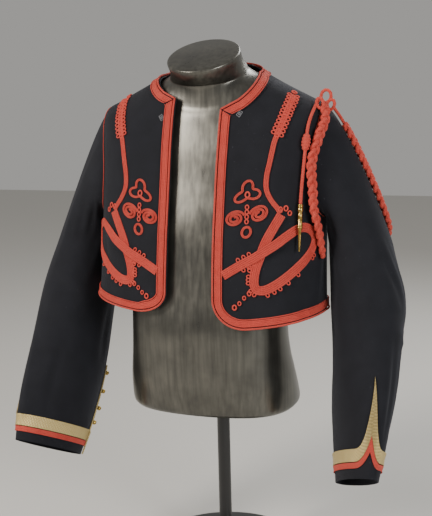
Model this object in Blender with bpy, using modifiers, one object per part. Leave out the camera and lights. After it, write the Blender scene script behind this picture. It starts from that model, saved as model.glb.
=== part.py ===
"""A zouave bolero, worn on a limbless dress form with a pole stand.

Metres, +Z up. -Y is the front and +X the wearer's left.
The origin is the middle of the stand's underside, on the pole's axis.
"""

import math
from collections import namedtuple

import bmesh
import bpy
from mathutils import Vector

COLLECTION = "zouave_bolero"

# Finishes
Finish = namedtuple("Finish", "colour roughness metallic")
WOOL = Finish((0.012, 0.013, 0.019), 0.9, 0.0)
BRAID = Finish((0.63, 0.05, 0.035), 0.8, 0.0)
LACE = Finish((0.62, 0.45, 0.17), 0.5, 0.5)
GILT = Finish((0.62, 0.45, 0.17), 0.3, 1.0)
BRASS = Finish((0.55, 0.38, 0.16), 0.3, 1.0)
FORM_SKIN = Finish((0.06, 0.06, 0.062), 0.35, 0.6)
IRON = Finish((0.012, 0.012, 0.012), 0.45, 0.6)

# Cloth, seams and braid
CLOTH = 0.002
SEAM_GAP = 0.0005
BRAID_LIFT = 0.0007
NECK_LIFT = 0.0016

# Rings round the jacket's body, from the neckline down to the hem.
# down is the distance from the neckline along the shoulder and side seams.
Ring = namedtuple("Ring", "down z_front z_side z_back half_width y_front y_back")
BODY_RINGS = [
    Ring(0.000, 0.868, 0.905, 0.926, 0.086, -0.092, 0.055),
    Ring(0.040, 0.842, 0.892, 0.902, 0.115, -0.100, 0.075),
    Ring(0.080, 0.814, 0.878, 0.872, 0.146, -0.106, 0.092),
    Ring(0.120, 0.786, 0.863, 0.840, 0.177, -0.112, 0.103),
    Ring(0.152, 0.762, 0.849, 0.812, 0.201, -0.117, 0.111),
    Ring(0.195, 0.729, 0.807, 0.773, 0.207, -0.124, 0.117),
    Ring(0.240, 0.695, 0.761, 0.731, 0.207, -0.131, 0.116),
    Ring(0.290, 0.658, 0.711, 0.688, 0.206, -0.139, 0.109),
    Ring(0.338, 0.622, 0.663, 0.646, 0.205, -0.146, 0.099),
    Ring(0.420, 0.552, 0.581, 0.568, 0.206, -0.154, 0.084),
    Ring(0.503, 0.478, 0.499, 0.487, 0.209, -0.158, 0.068),
]
HEM = BODY_RINGS[-1].down
BOXY = 0.16
BACK_FALL = 1.4
SIDE = math.radians(90)
BACK = math.radians(180)

# The right front hangs a little shorter than the left one
RIGHT_LIFT = 0.022

# The fronts' edges: their distance from the middle, and the round lower corner
Edge = namedtuple("Edge", "down left right")
FRONT_EDGE = [
    Edge(0.000, 0.045, 0.038),
    Edge(0.060, 0.042, 0.040),
    Edge(0.120, 0.041, 0.041),
    Edge(0.200, 0.040, 0.041),
    Edge(0.340, 0.040, 0.041),
    Edge(0.440, 0.040, 0.042),
]
CORNER_RADIUS = 0.060

# The neckline dips at the front, more on the left
NECK_DIP_LEFT = 0.042
NECK_DIP_RIGHT = 0.011
DIP_REACH = 0.14

# The armhole is an oval on the body
SHOULDER_TIP = 0.152
ARMPIT = 0.338
ARMHOLE_REACH = math.radians(28)

# Rings down the left sleeve from the armpit's level to the cuff.
# turn is the way that the flat of the sleeve lies, in degrees from the wearer's left.
SleeveRing = namedtuple("SleeveRing", "step x y z long short turn")
SLEEVE_RINGS = [
    SleeveRing(0, 0.2620, 0.003, 0.600, 0.0730, 0.0545, -90),
    SleeveRing(1, 0.2785, -0.022, 0.500, 0.0770, 0.0635, -76),
    SleeveRing(2, 0.2820, -0.065, 0.400, 0.0790, 0.0510, -61),
    SleeveRing(3, 0.2850, -0.119, 0.305, 0.0780, 0.0380, -60),
    SleeveRing(4, 0.2870, -0.156, 0.238, 0.0690, 0.0280, -62),
]
HEAD_SHARE = 0.42
HEAD_FULLNESS = 0.8
HEAD_EASE = 0.3
END_EASE = 0.7
HEAD_RISE = 0.5
LEAN_POWER = 4
END_STEP = 0.1

# Levels above the cuff's edge, on the way to the galon's point at the front fold
CUFF_BRAID_LOW = 0.024
CUFF_BRAID_HIGH = 0.034
GALON_LOW = 0.036
GALON_HIGH = 0.063
GALON_POINT_LOW = 0.078
GALON_POINT = 0.178
CUFF_BRAID_POINT = 0.052
POINT_TURN_LEFT = math.radians(105)
POINT_TURN_RIGHT = math.radians(50)
POINT_HALF = math.radians(34)
POINT_SHARES = [0.07, 0.16, 0.3, 0.5]
POINT_NEAR = math.radians(2.5)
POINT_FOOT = 0.25
GALON_ROWS = 2
CUFF_BRAID_ROWS = 1
TRIM_THICK = 0.0012

# The back slit of each cuff: its gold edging and ball buttons
SLIT_FROM_POINT = math.radians(-165)
SLIT_LOW = 0.001
SLIT_HIGH = 0.185
SLIT_ROWS = 11
SLIT_LIFT = 0.0023
SLIT_EDGING = 0.0032
SLIT_BUTTONS = [0.084, 0.114, 0.144, 0.174]
BUTTON_RADIUS = 0.0042
BUTTON_ASIDE = 0.009
BUTTON_SEAT = 0.0004
BUTTON_SEGMENTS = 8
BUTTON_RINGS = 6

# The dress form below the shoulders, as rings like the jacket's
FORM_EASE = 0.010
FORM_GAP = 0.0008
FORM_EASE_SPREAD = 1.4
FORM_YOKE = [0.020, 0.045, 0.075, 0.105, 0.132]
FormRing = namedtuple("FormRing", "z_front z_side z_back half_width y_front y_back")
FORM_RINGS = [
    FormRing(0.740, 0.815, 0.790, 0.1870, -0.108, 0.104),
    FormRing(0.700, 0.750, 0.735, 0.1740, -0.117, 0.101),
    FormRing(0.650, 0.680, 0.670, 0.1610, -0.128, 0.088),
    FormRing(0.580, 0.590, 0.585, 0.1500, -0.138, 0.066),
    FormRing(0.515, 0.515, 0.515, 0.1430, -0.146, 0.044),
    FormRing(0.465, 0.465, 0.465, 0.1410, -0.151, 0.034),
    FormRing(0.420, 0.420, 0.420, 0.1440, -0.150, 0.040),
    FormRing(0.375, 0.375, 0.375, 0.1500, -0.148, 0.056),
    FormRing(0.340, 0.340, 0.340, 0.1530, -0.143, 0.072),
    FormRing(0.324, 0.324, 0.324, 0.1525, -0.140, 0.078),
    FormRing(0.318, 0.318, 0.318, 0.1480, -0.136, 0.075),
]
FORM_POINTS = 28
NeckRing = namedtuple("NeckRing", "z slope half_width y half_depth")
NECK_RINGS = [
    NeckRing(0.940, 0.48, 0.0580, -0.055, 0.054),
    NeckRing(0.938, 0.48, 0.0630, -0.055, 0.059),
    NeckRing(0.934, 0.47, 0.0640, -0.053, 0.060),
    NeckRing(0.924, 0.44, 0.0635, -0.044, 0.061),
    NeckRing(0.914, 0.40, 0.0670, -0.032, 0.062),
    NeckRing(0.906, 0.37, 0.0720, -0.027, 0.058),
]

# The stand
POLE_RADIUS = 0.012
POLE_COLLAR_RADIUS = 0.026
POLE_COLLAR_HIGH = 0.014
BASE_RADIUS = 0.150
BASE_HIGH = 0.014
BASE_BEVEL = 0.003
DISC_SIDES = 32
TOUCH = 0.0003

SLEEVE_POINTS = 24
HEAD_ROWS = 5
HEAD_CLOSER = 1.2
FREE_ROWS = 7
FREE_LENGTH = 0.395

# Rows of points down the body: the yoke, the armhole, the side and the round corner
YOKE_ROWS = 7
ARMHOLE_ROWS = 12
SIDE_ROWS = 4
CORNER_TURNS = [26, 48, 70, 90]
FRONT_COLUMNS = 9
BACK_COLUMNS = 15
SEAM_ANGLE = 0.0015

# The edge braid's section: a raised piping at the edge, a groove and a flat braid
Point = namedtuple("Point", "across high")
EDGE_BRAID = [
    Point(0.0004, 0.0020),
    Point(0.0040, 0.0020),
    Point(0.0054, 0.0009),
    Point(0.0070, 0.0017),
    Point(0.0185, 0.0016),
]
# Rows of points along the edge braid
MITRE_ANGLE = 0.004
MITRE_DOWN = 0.0006
NECK_INSET = math.radians(16)
EDGE_START = 0.022
EDGE_CORNER_TURNS = [18, 36, 54, 72]
NECK_ROWS = 22
EDGE_ROWS = 17
HEM_ROWS = 8
BACK_HEM_ROWS = 18

WIDE_BRAID = 0.0155
NARROW_BRAID = 0.0085
PAD_BRAID = 0.0150
SOUTACHE = 0.0042
BRAID_HEIGHT = 0.0016
PIPING_WIDTH = 0.0026
PIPING_HIGH = 0.0020
PIPING_INSET = 0.0013

# The scroll motif of one front: three leaves, two volutes and a drop
MOTIF_ACROSS = 0.0985
MOTIF_DOWN = 0.236
TREFOIL_RADIUS = 0.0175
TREFOIL_WAVE = 0.38
TREFOIL_POINTS = 24
VOLUTE_ASIDE = 0.0205
VOLUTE_DOWN = 0.286
VOLUTE_OUTER = 0.0165
VOLUTE_INNER = 0.0055
VOLUTE_START = math.radians(-75)
VOLUTE_TURN = math.radians(560)
VOLUTE_POINTS = 22
DROP_DOWN = 0.318
DROP_HALF_WIDTH = 0.0075
DROP_HALF_HEIGHT = 0.0105
DROP_POINTS = 10

# The cord set of the left shoulder
PLAIT_RADIUS = 0.0070
PLAIT_OUT = 0.0076
PLAIT_SPACING = 0.022
# The front plait's route over the body, with its angle in degrees
OnBody = namedtuple("OnBody", "angle down out")
FRONT_PLAIT = [
    OnBody(79, 0.150, 0.0105),
    OnBody(74, 0.170, 0.0115),
    OnBody(66, 0.192, 0.0122),
    OnBody(60, 0.228, 0.0125),
    OnBody(62, 0.281, 0.0125),
    OnBody(64, 0.315, 0.0125),
    OnBody(69, 0.349, 0.0120),
    OnBody(74, 0.383, 0.0100),
    OnBody(77, 0.404, 0.0085),
]
# The back plait's route over the sleeve, with its turn round it in degrees
OnSleeve = namedtuple("OnSleeve", "turn along")
BACK_PLAIT = [
    OnSleeve(-2, 0.030),
    OnSleeve(-2, 0.070),
    OnSleeve(-4, 0.120),
    OnSleeve(-6, 0.170),
    OnSleeve(-10, 0.220),
    OnSleeve(-15, 0.265),
    OnSleeve(-24, 0.305),
    OnSleeve(-40, 0.340),
    OnSleeve(-62, 0.370),
    OnSleeve(-88, 0.390),
]
CORD_RADIUS = 0.0030
# Steps of the hanging cord's route, and how many of them lie between two of its points
CORD_STEP = 0.0002
CORD_EVERY = 75
Place = namedtuple("Place", "x y z")
HANGING_ROUTE = [
    Place(0.1950, -0.0300, 0.8575),
    Place(0.1915, -0.0530, 0.8400),
    Place(0.1880, -0.0700, 0.8190),
    Place(0.1870, -0.0800, 0.7960),
    Place(0.1855, -0.0860, 0.7700),
    Place(0.1835, -0.0910, 0.7400),
    Place(0.1820, -0.0965, 0.7120),
    Place(0.1815, -0.1010, 0.6900),
]
SLIDE_HIGH = 0.805
SLIDE_LOW = 0.776
SLIDE_RADIUS = 0.0062
FERRULE_TIP = Place(0.1820, -0.1142, 0.6120)
FERRULE_SIDES = 12
Level = namedtuple("Level", "down radius")
FERRULE = [
    Level(0.000, 0.0036),
    Level(0.001, 0.0046),
    Level(0.012, 0.0046),
    Level(0.014, 0.0034),
    Level(0.017, 0.0040),
    Level(0.034, 0.0040),
    Level(0.036, 0.0046),
    Level(0.040, 0.0046),
    Level(0.043, 0.0030),
    Level(0.070, 0.0018),
    Level(0.079, 0.0009),
]
KnotLoop = namedtuple("KnotLoop", "name x y z half_width half_height tilt")
KNOT_CORD = 0.0029
LOOP_POINTS = 12
KNOT_LOOPS = [
    KnotLoop("knot_loop_top", 0.1985, -0.0020, 0.8692, 0.0080, 0.0125, 4),
    KnotLoop("knot_loop_front", 0.1950, -0.0085, 0.8662, 0.0065, 0.0090, -35),
    KnotLoop("knot_loop_back", 0.2075, 0.0045, 0.8622, 0.0065, 0.0090, 40),
]

# Ornament of one front, in metres across from the middle and down from the neckline.
# Where the wide braid crosses itself, the upper run is lifted over the lower one.
Way = namedtuple("Way", "across down lift")
LOOP_BRAID = [
    Way(0.158, 0.301, 0),
    Way(0.143, 0.325, 0),
    Way(0.131, 0.347, 0),
    Way(0.123, 0.370, 0),
    Way(0.115, 0.395, 0),
    Way(0.113, 0.418, 0),
    Way(0.118, 0.430, 0),
    Way(0.130, 0.433, 0),
    Way(0.147, 0.428, 0),
    Way(0.168, 0.418, 0),
    Way(0.189, 0.407, 0),
    Way(0.207, 0.396, 0),
    Way(0.221, 0.384, 0),
    Way(0.227, 0.369, 0),
    Way(0.219, 0.353, 0),
    Way(0.204, 0.342, 0),
    Way(0.187, 0.340, 0),
    Way(0.168, 0.345, 0.3),
    Way(0.151, 0.353, 1),
    Way(0.131, 0.362, 1),
    Way(0.112, 0.371, 1),
    Way(0.094, 0.379, 0.3),
    Way(0.077, 0.388, 0),
    Way(0.064, 0.396, 0),
]
CROSSING_LIFT = 0.0026
BRAID_SPACING = 0.013
SHOULDER_BRAID = [
    Way(0.145, 0.154, 0),
    Way(0.141, 0.168, 0),
    Way(0.136, 0.190, 0),
    Way(0.131, 0.215, 0),
    Way(0.131, 0.240, 0),
    Way(0.139, 0.264, 0),
    Way(0.151, 0.286, 0),
]
SHOULDER_PAD = [
    Way(0.196, 0.096, 0),
    Way(0.178, 0.110, 0),
    Way(0.163, 0.127, 0),
    Way(0.149, 0.147, 0),
]


class Curve:
    """A smooth curve through the points (xs, ys), read at any x."""

    def __init__(self, xs, ys):
        self.xs = xs
        self.ys = ys
        last = len(xs) - 1
        self.slopes = []
        for i in range(len(xs)):
            low, high = max(i - 1, 0), min(i + 1, last)
            self.slopes.append((ys[high] - ys[low]) / (xs[high] - xs[low]))

    def __call__(self, x):
        i = 0
        while i < len(self.xs) - 2 and x > self.xs[i + 1]:
            i += 1
        step = self.xs[i + 1] - self.xs[i]
        t = (x - self.xs[i]) / step
        rise = t * t * (3 - 2 * t)
        leave = t * (1 - t) * (1 - t) * step * self.slopes[i]
        arrive = t * t * (t - 1) * step * self.slopes[i + 1]
        return self.ys[i] * (1 - rise) + self.ys[i + 1] * rise + leave + arrive


class Table:
    """Rows with named columns, smoothed and read by their first column."""

    def __init__(self, rows):
        self.kind = type(rows[0])
        columns = list(zip(*rows))
        self.curves = [Curve(columns[0], column) for column in columns]

    def __call__(self, x):
        return self.kind(*[curve(x) for curve in self.curves])


body_ring = Table(BODY_RINGS)
front_edge = Table(FRONT_EDGE)
sleeve_table = Table(SLEEVE_RINGS)


def ring_point(ring, angle):
    """A point on a ring. Angle 0 is centre front and 90 degrees the wearer's left side."""
    s, c = math.sin(angle), math.cos(angle)
    z_end, y_end = (ring.z_front, ring.y_front) if c > 0 else (ring.z_back, ring.y_back)
    y_side = (ring.y_front + ring.y_back) / 2
    drop = c * c if c > 0 else abs(c) ** BACK_FALL
    return Vector(
        (
            ring.half_width * s * (1 + BOXY * c * c),
            y_side + (y_end - y_side) * abs(c) * (1 + BOXY * s * s),
            ring.z_side + (z_end - ring.z_side) * drop,
        )
    )


def slopes_of(skin, u, v, step=0.002):
    """How a surface runs in its two directions at (u, v)."""
    along_u = (skin(u + step, v) - skin(u - step, v)) / (2 * step)
    along_v = (skin(u, v + step) - skin(u, v - step)) / (2 * step)
    return along_u, along_v


def body_skin(angle, down):
    """A point on the jacket's body: the wearer's left has angles above 0, the right below."""
    point = ring_point(body_ring(down), angle)
    turned = math.atan2(math.sin(angle), math.cos(angle))
    if turned < 0:
        low = min(max((down - ARMPIT) / (HEM - ARMPIT), 0.0), 1.0)
        forward = (1 + math.cos(max(-turned - SIDE, 0.0) * 2)) / 2
        point.z += RIGHT_LIFT * low * low * forward
    return point


def body(angle, down, out=0.0):
    """A point on the jacket's body, moved out from the cloth's outer face."""
    around, downward = slopes_of(body_skin, angle, down)
    return body_skin(angle, down) + downward.cross(around).normalized() * out


def angle_at_x(x, down, halvings=24):
    """The angle on the front at which the body is x from the middle."""
    low, high = 0.0, SIDE
    for _ in range(halvings):
        middle = (low + high) / 2
        if body_skin(middle, down).x < x:
            low = middle
        else:
            high = middle
    return low


def angle_at(across, down, step=0.01):
    """The angle reached by going across, round the body from centre front."""
    angle, gone, here = 0.0, 0.0, body_skin(0.0, down)
    while gone < across:
        there = body_skin(angle + step, down)
        stride = (there - here).length
        if gone + stride > across:
            return angle + step * (across - gone) / stride
        angle, gone, here = angle + step, gone + stride, there
    return angle


def armhole(turn):
    """(angle, down) on the armhole: turn 0 is the shoulder tip, 90 degrees the front."""
    share = (1 - math.cos(turn)) / 2
    return SIDE - ARMHOLE_REACH * math.sin(turn), SHOULDER_TIP + share * (ARMPIT - SHOULDER_TIP)


def sleeve_ring(at, turn, step=0.05):
    """A point on the free part of the left sleeve, at a step of its table."""
    ring = sleeve_table(at)
    ahead, behind = sleeve_table(at + step), sleeve_table(at - step)
    down = Vector((ahead.x - behind.x, ahead.y - behind.y, ahead.z - behind.z)).normalized()
    way = math.radians(ring.turn)
    long_way = Vector((math.cos(way), math.sin(way), 0))
    long_way = (long_way - down * long_way.dot(down)).normalized()
    out_way = long_way.cross(down)
    centre = Vector((ring.x, ring.y, ring.z))
    return (
        centre
        + long_way * ring.long * math.sin(turn)
        + out_way * ring.short * math.cos(turn)
    )


def sleeve_skin(turn, along):
    """A point on the left sleeve: along 0 is the armhole seam and 1 the cuff's edge."""
    if along >= HEAD_SHARE:
        return sleeve_ring((along - HEAD_SHARE) / (1 - HEAD_SHARE) * SLEEVE_RINGS[-1].step, turn)
    angle, down = armhole(turn)
    start = body_skin(angle, down)
    around, downward = slopes_of(body_skin, angle, down)
    normal = downward.cross(around).normalized()
    away = downward.normalized() * math.cos(turn) + around.normalized() * math.sin(turn)
    away.normalize()
    end = sleeve_ring(0, turn)
    end_way = (sleeve_ring(END_STEP, turn) - end).normalized()
    chord = (end - start).length
    lean = math.sin(turn / 2) ** LEAN_POWER
    top = ((1 + math.cos(turn)) / 2) ** 2
    start += away * SEAM_GAP
    start_way = (normal * (HEAD_RISE + lean) + away * (1 - lean)).normalized()
    t = along / HEAD_SHARE
    rise = t * t * (3 - 2 * t)
    return (
        start * (1 - rise)
        + end * rise
        + start_way * t * (1 - t) * (1 - t) * chord * (HEAD_FULLNESS - HEAD_EASE * top)
        + end_way * t * t * (t - 1) * chord * (1 - END_EASE * top)
    )


def sleeve(turn, along, out=0.0):
    """A point on the left sleeve, moved out from the cloth's outer face."""
    around, downward = slopes_of(sleeve_skin, turn, along)
    return sleeve_skin(turn, along) + around.cross(downward).normalized() * out


def neck_fall(angle, down):
    """How far the neckline dips below its ring at an angle."""
    dip = NECK_DIP_LEFT if math.sin(angle) > 0 else NECK_DIP_RIGHT
    return dip * max(math.cos(angle), 0.0) * max(1 - down / DIP_REACH, 0.0)


def edge_place(down, side):
    """(angle, down) on the edge of a front, with its neck and round lower corner."""
    low = max(down - (HEM - CORNER_RADIUS), 0.0)
    turned_in = CORNER_RADIUS - math.sqrt(max(CORNER_RADIUS**2 - low**2, 0.0))
    at = down
    angle = 0.0
    for _ in range(3):
        edge = front_edge(min(at, FRONT_EDGE[-1].down))
        x = (edge.left if side > 0 else edge.right) + turned_in
        angle = angle_at_x(x, at)
        at = down + neck_fall(side * angle, down)
    return side * angle, at


def armhole_angle(down):
    """How far a panel's edge stands back from the side line at a level of the armhole."""
    if SHOULDER_TIP < down < ARMPIT:
        share = (down - SHOULDER_TIP) / (ARMPIT - SHOULDER_TIP)
        return ARMHOLE_REACH * math.sin(math.acos(1 - 2 * share))
    return SEAM_ANGLE


def body_rows():
    """The levels at which the panels have rows of points."""
    rows = [SHOULDER_TIP * i / YOKE_ROWS for i in range(YOKE_ROWS)]
    for i in range(ARMHOLE_ROWS):
        share = (1 - math.cos(math.pi * i / ARMHOLE_ROWS)) / 2
        rows.append(SHOULDER_TIP + (ARMPIT - SHOULDER_TIP) * share)
    straight = HEM - CORNER_RADIUS - ARMPIT
    rows += [ARMPIT + straight * i / SIDE_ROWS for i in range(SIDE_ROWS + 1)]
    rows += [HEM - CORNER_RADIUS + CORNER_RADIUS * math.sin(math.radians(t)) for t in CORNER_TURNS]
    return rows


def loft(name, sections, finish, ring=False, mirror=False):
    """A closed body through sections of the same even number of points.

    ring joins the last section to the first; otherwise both ends are capped.
    """
    mesh = bmesh.new()
    rows = []
    for section in sections:
        flip = -1 if mirror else 1
        rows.append([mesh.verts.new((p.x * flip, p.y, p.z)) for p in section])
    count = len(rows[0])
    for i in range(len(rows) if ring else len(rows) - 1):
        here, there = rows[i], rows[(i + 1) % len(rows)]
        for j in range(count):
            k = (j + 1) % count
            mesh.faces.new((here[j], here[k], there[k], there[j]))
    if not ring:
        for row in (rows[0], rows[-1]):
            for j in range(count // 2 - 1):
                mesh.faces.new((row[j], row[j + 1], row[count - 2 - j], row[count - 1 - j]))
    bmesh.ops.recalc_face_normals(mesh, faces=mesh.faces)
    data = bpy.data.meshes.new(name)
    mesh.to_mesh(data)
    mesh.free()
    return keep(bpy.data.objects.new(name, data), finish)


def keep(part, finish):
    """Puts a part in the collection, with its own material."""
    material = bpy.data.materials.new(part.name + "_finish")
    material.use_nodes = True
    shader = material.node_tree.nodes["Principled BSDF"]
    shader.inputs["Base Color"].default_value = (*finish.colour, 1)
    shader.inputs["Roughness"].default_value = finish.roughness
    shader.inputs["Metallic"].default_value = finish.metallic
    part.data.materials.append(material)
    bpy.data.collections[COLLECTION].objects.link(part)
    return part


def fallen(angle, down):
    return angle, down + neck_fall(angle, down)


def make_front(name, side):
    rows = body_rows()
    sections = []
    for down in rows:
        start, _ = edge_place(down, side)
        span = side * (SIDE - armhole_angle(down)) - start
        angles = [start + span * i / FRONT_COLUMNS for i in range(FRONT_COLUMNS + 1)]
        row = [fallen(angle, down) for angle in angles]
        outer = [body(angle, at) for angle, at in row]
        inner = [body(angle, at, -CLOTH) for angle, at in reversed(row)]
        sections.append(outer + inner)
    return loft(name, sections, WOOL)


def make_back():
    sections = []
    for down in body_rows():
        start = SIDE + armhole_angle(down)
        end = 2 * BACK - start
        angles = []
        for i in range(BACK_COLUMNS + 1):
            share = i / BACK_COLUMNS
            closer = (1 - math.cos(math.pi * share)) / 2
            angles.append(start + (end - start) * (share + closer) / 2)
        outer = [body(angle, down) for angle in angles]
        inner = [body(angle, down, -CLOTH) for angle in reversed(angles)]
        sections.append(outer + inner)
    return loft("back", sections, WOOL)


def sleeve_levels():
    """Where along a sleeve its rings of points lie."""
    head = [HEAD_SHARE * (i / HEAD_ROWS) ** HEAD_CLOSER for i in range(HEAD_ROWS)]
    return head + [HEAD_SHARE + (1 - HEAD_SHARE) * i / (FREE_ROWS - 1) for i in range(FREE_ROWS)]


def make_sleeve(name, mirror):
    levels = sleeve_levels()
    sections = []
    for i in range(SLEEVE_POINTS):
        turn = 2 * math.pi * i / SLEEVE_POINTS
        outer = [sleeve(turn, along) for along in levels]
        inner = [sleeve(turn, along, -CLOTH) for along in reversed(levels)]
        sections.append(outer + inner)
    return loft(name, sections, WOOL, ring=True, mirror=mirror)


def along_at(up):
    """The place along a sleeve at a height above the cuff's edge."""
    return 1 - up / FREE_LENGTH * (1 - HEAD_SHARE)


def point_share(turn, tip):
    """0 away from the galon's point and 1 at its tip."""
    away = abs(math.atan2(math.sin(turn - tip), math.cos(turn - tip)))
    return max(1 - away / POINT_HALF, 0.0)


def cuff_turns(tip):
    """The turns of a cuff trim's points: evenly round, and closer about the galon's point."""
    turns = [2 * math.pi * i / SLEEVE_POINTS for i in range(SLEEVE_POINTS)]
    closer = [tip]
    for share in POINT_SHARES:
        closer += [tip - POINT_HALF * share, tip + POINT_HALF * share]
    turns = [t for t in turns if all(abs(t - c) > POINT_NEAR for c in closer)]
    return sorted(turns + closer)


def cuff_trim(name, low, high, tip, finish, mirror, rows):
    """A flat trim round a cuff between two heights, each a function of the share of the point."""
    sections = []
    for turn in cuff_turns(tip):
        share = point_share(turn, tip)
        top, bottom = along_at(high(share)), along_at(low(share))
        levels = [top + (bottom - top) * i / rows for i in range(rows + 1)]
        outer = [sleeve(turn, along, BRAID_LIFT + TRIM_THICK) for along in levels]
        inner = [sleeve(turn, along, BRAID_LIFT) for along in reversed(levels)]
        sections.append(outer + inner)
    return loft(name, sections, finish, ring=True, mirror=mirror)


def galon_high(share):
    """The galon's upper edge, with a broad foot under its narrow point."""
    rise = POINT_FOOT * share**2 + (1 - POINT_FOOT) * share**5
    return GALON_HIGH + (GALON_POINT - GALON_HIGH) * rise


def galon_low(share):
    return GALON_LOW + (GALON_POINT_LOW - GALON_LOW) * share**2


def cuff_braid_high(share):
    return galon_low(share) - (GALON_LOW - CUFF_BRAID_HIGH)


def cuff_braid_low(share):
    return CUFF_BRAID_LOW + (CUFF_BRAID_POINT - CUFF_BRAID_LOW) * share**2


def slit_edging(name, tip, mirror):
    """The gold edging of a cuff's back slit, laid over the trims."""
    sections = []
    turn = tip + SLIT_FROM_POINT
    low, high = SLIT_LIFT, SLIT_LIFT + TRIM_THICK
    for i in range(SLIT_ROWS + 1):
        along = along_at(SLIT_LOW + (SLIT_HIGH - SLIT_LOW) * i / SLIT_ROWS)
        around, _ = slopes_of(sleeve_skin, turn, along)
        half = SLIT_EDGING / 2 / around.length
        sections.append(
            [
                sleeve(turn - half, along, high),
                sleeve(turn + half, along, high),
                sleeve(turn + half, along, low),
                sleeve(turn - half, along, low),
            ]
        )
    return loft(name, sections, LACE, mirror=mirror)


def ball_button(name, tip, up, mirror):
    turn = tip + SLIT_FROM_POINT
    along = along_at(up)
    around, _ = slopes_of(sleeve_skin, turn, along)
    place = sleeve(turn + BUTTON_ASIDE / around.length, along, BUTTON_RADIUS - BUTTON_SEAT)
    if mirror:
        place.x = -place.x
    bpy.ops.mesh.primitive_uv_sphere_add(
        segments=BUTTON_SEGMENTS, ring_count=BUTTON_RINGS, radius=BUTTON_RADIUS
    )
    part = bpy.context.object
    part.name = name
    part.location = place
    part.data.shade_smooth()
    for home in part.users_collection:
        home.objects.unlink(part)
    return keep(part, GILT)


def shifted(angle, down, way):
    """(angle, down) moved by a short vector along the cloth."""
    around, downward = slopes_of(body_skin, angle, down)
    aa, ad, dd = around.dot(around), around.dot(downward), downward.dot(downward)
    a, d = way.dot(around), way.dot(downward)
    spread = aa * dd - ad * ad
    return angle + (a * dd - d * ad) / spread, down + (d * aa - a * ad) / spread


def frame_on(places, i):
    """The way along a line of places on the cloth, and the way to its left, seen from outside."""
    before, after = places[max(i - 1, 0)], places[min(i + 1, len(places) - 1)]
    along = (body_skin(*after) - body_skin(*before)).normalized()
    around, downward = slopes_of(body_skin, *places[i])
    normal = downward.cross(around).normalized()
    along = (along - normal * along.dot(normal)).normalized()
    return along, normal.cross(along)


def edge_band(name, places, mitres=(0.0, 0.0), side=1, lift=BRAID_LIFT):
    """The edge braid along a line of places on an edge. side 1 lays it to the line's left."""
    sections = []
    for i, place in enumerate(places):
        along, left = frame_on(places, i)
        skew = mitres[0] if i == 0 else -mitres[1] if i == len(places) - 1 else 0.0
        outer, inner = [], []
        for point in EDGE_BRAID:
            way = left * side * point.across + along * skew * point.across
            at = shifted(*place, way)
            outer.append(body(*at, lift + point.high))
            inner.insert(0, body(*at, lift))
        sections.append(outer + inner)
    return loft(name, sections, BRAID)


def smooth_places(ways, spacing, side):
    """Evenly spaced (angle, down, lift) on a smooth line through an ornament's rows."""
    gone = [0.0]
    for before, after in zip(ways, ways[1:]):
        gone.append(gone[-1] + math.hypot(after.across - before.across, after.down - before.down))
    curves = [Curve(gone, column) for column in zip(*ways)]
    count = max(round(gone[-1] / spacing), 4)
    places = []
    for i in range(count + 1):
        across, down, lift = [curve(gone[-1] * i / count) for curve in curves]
        places.append((side * angle_at(across, down), down, max(lift, 0.0) * CROSSING_LIFT))
    return places


def flat_band(name, places, width, high=BRAID_HEIGHT, ring=False):
    """A flat braid along a line of (angle, down, lift) on the cloth."""
    sections = []
    line = [(angle, down) for angle, down, _ in places]
    for i, (angle, down, lift) in enumerate(places):
        if ring:
            near = [line[i - 1], line[i], line[(i + 1) % len(line)]]
            _, left = frame_on(near, 1)
        else:
            _, left = frame_on(line, i)
        right_at = shifted(angle, down, left * -width / 2)
        left_at = shifted(angle, down, left * width / 2)
        low = BRAID_LIFT + lift
        top = low + high
        upper = [body(*left_at, top), body(*right_at, top)]
        sections.append(upper + [body(*right_at, low), body(*left_at, low)])
    return loft(name, sections, BRAID, ring=ring)


def corner_skew(side, step_down=0.01, step_aside=0.08):
    """How far the mitre at the neck corner leans for each step across the braid."""
    corner = edge_place(0.0, side)
    below = edge_place(step_down, side)
    beside = fallen(corner[0] + side * step_aside, 0.0)
    down_way = (body_skin(*below) - body_skin(*corner)).normalized()
    neck_way = (body_skin(*beside) - body_skin(*corner)).normalized()
    return 1 / math.tan(down_way.angle(neck_way) / 2)


def neck_places():
    """Places round the neckline, from the left front's corner over the back to the right's."""
    start = edge_place(0.0, 1)[0] + MITRE_ANGLE
    end = 2 * BACK + edge_place(0.0, -1)[0] - MITRE_ANGLE
    first = start + NECK_INSET
    span = end - NECK_INSET - first
    angles = [start] + [first + span * i / NECK_ROWS for i in range(NECK_ROWS + 1)] + [end]
    return [fallen(angle, 0.0) for angle in angles]


def front_edge_places(side):
    """Places down a front's edge from the neck corner, round the lower corner to the side."""
    corner_top = HEM - CORNER_RADIUS
    levels = [MITRE_DOWN]
    levels += [EDGE_START + (corner_top - EDGE_START) * i / EDGE_ROWS for i in range(EDGE_ROWS + 1)]
    levels += [corner_top + CORNER_RADIUS * math.sin(math.radians(t)) for t in EDGE_CORNER_TURNS]
    places = [edge_place(down, side) for down in levels]
    start = abs(edge_place(HEM, side)[0])
    span = SIDE - SEAM_ANGLE - start
    places += [(side * (start + span * i / HEM_ROWS), HEM) for i in range(HEM_ROWS + 1)]
    return places


def back_hem_places():
    start = SIDE + SEAM_ANGLE
    end = 2 * BACK - start
    return [(start + (end - start) * i / BACK_HEM_ROWS, HEM) for i in range(BACK_HEM_ROWS + 1)]


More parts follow.
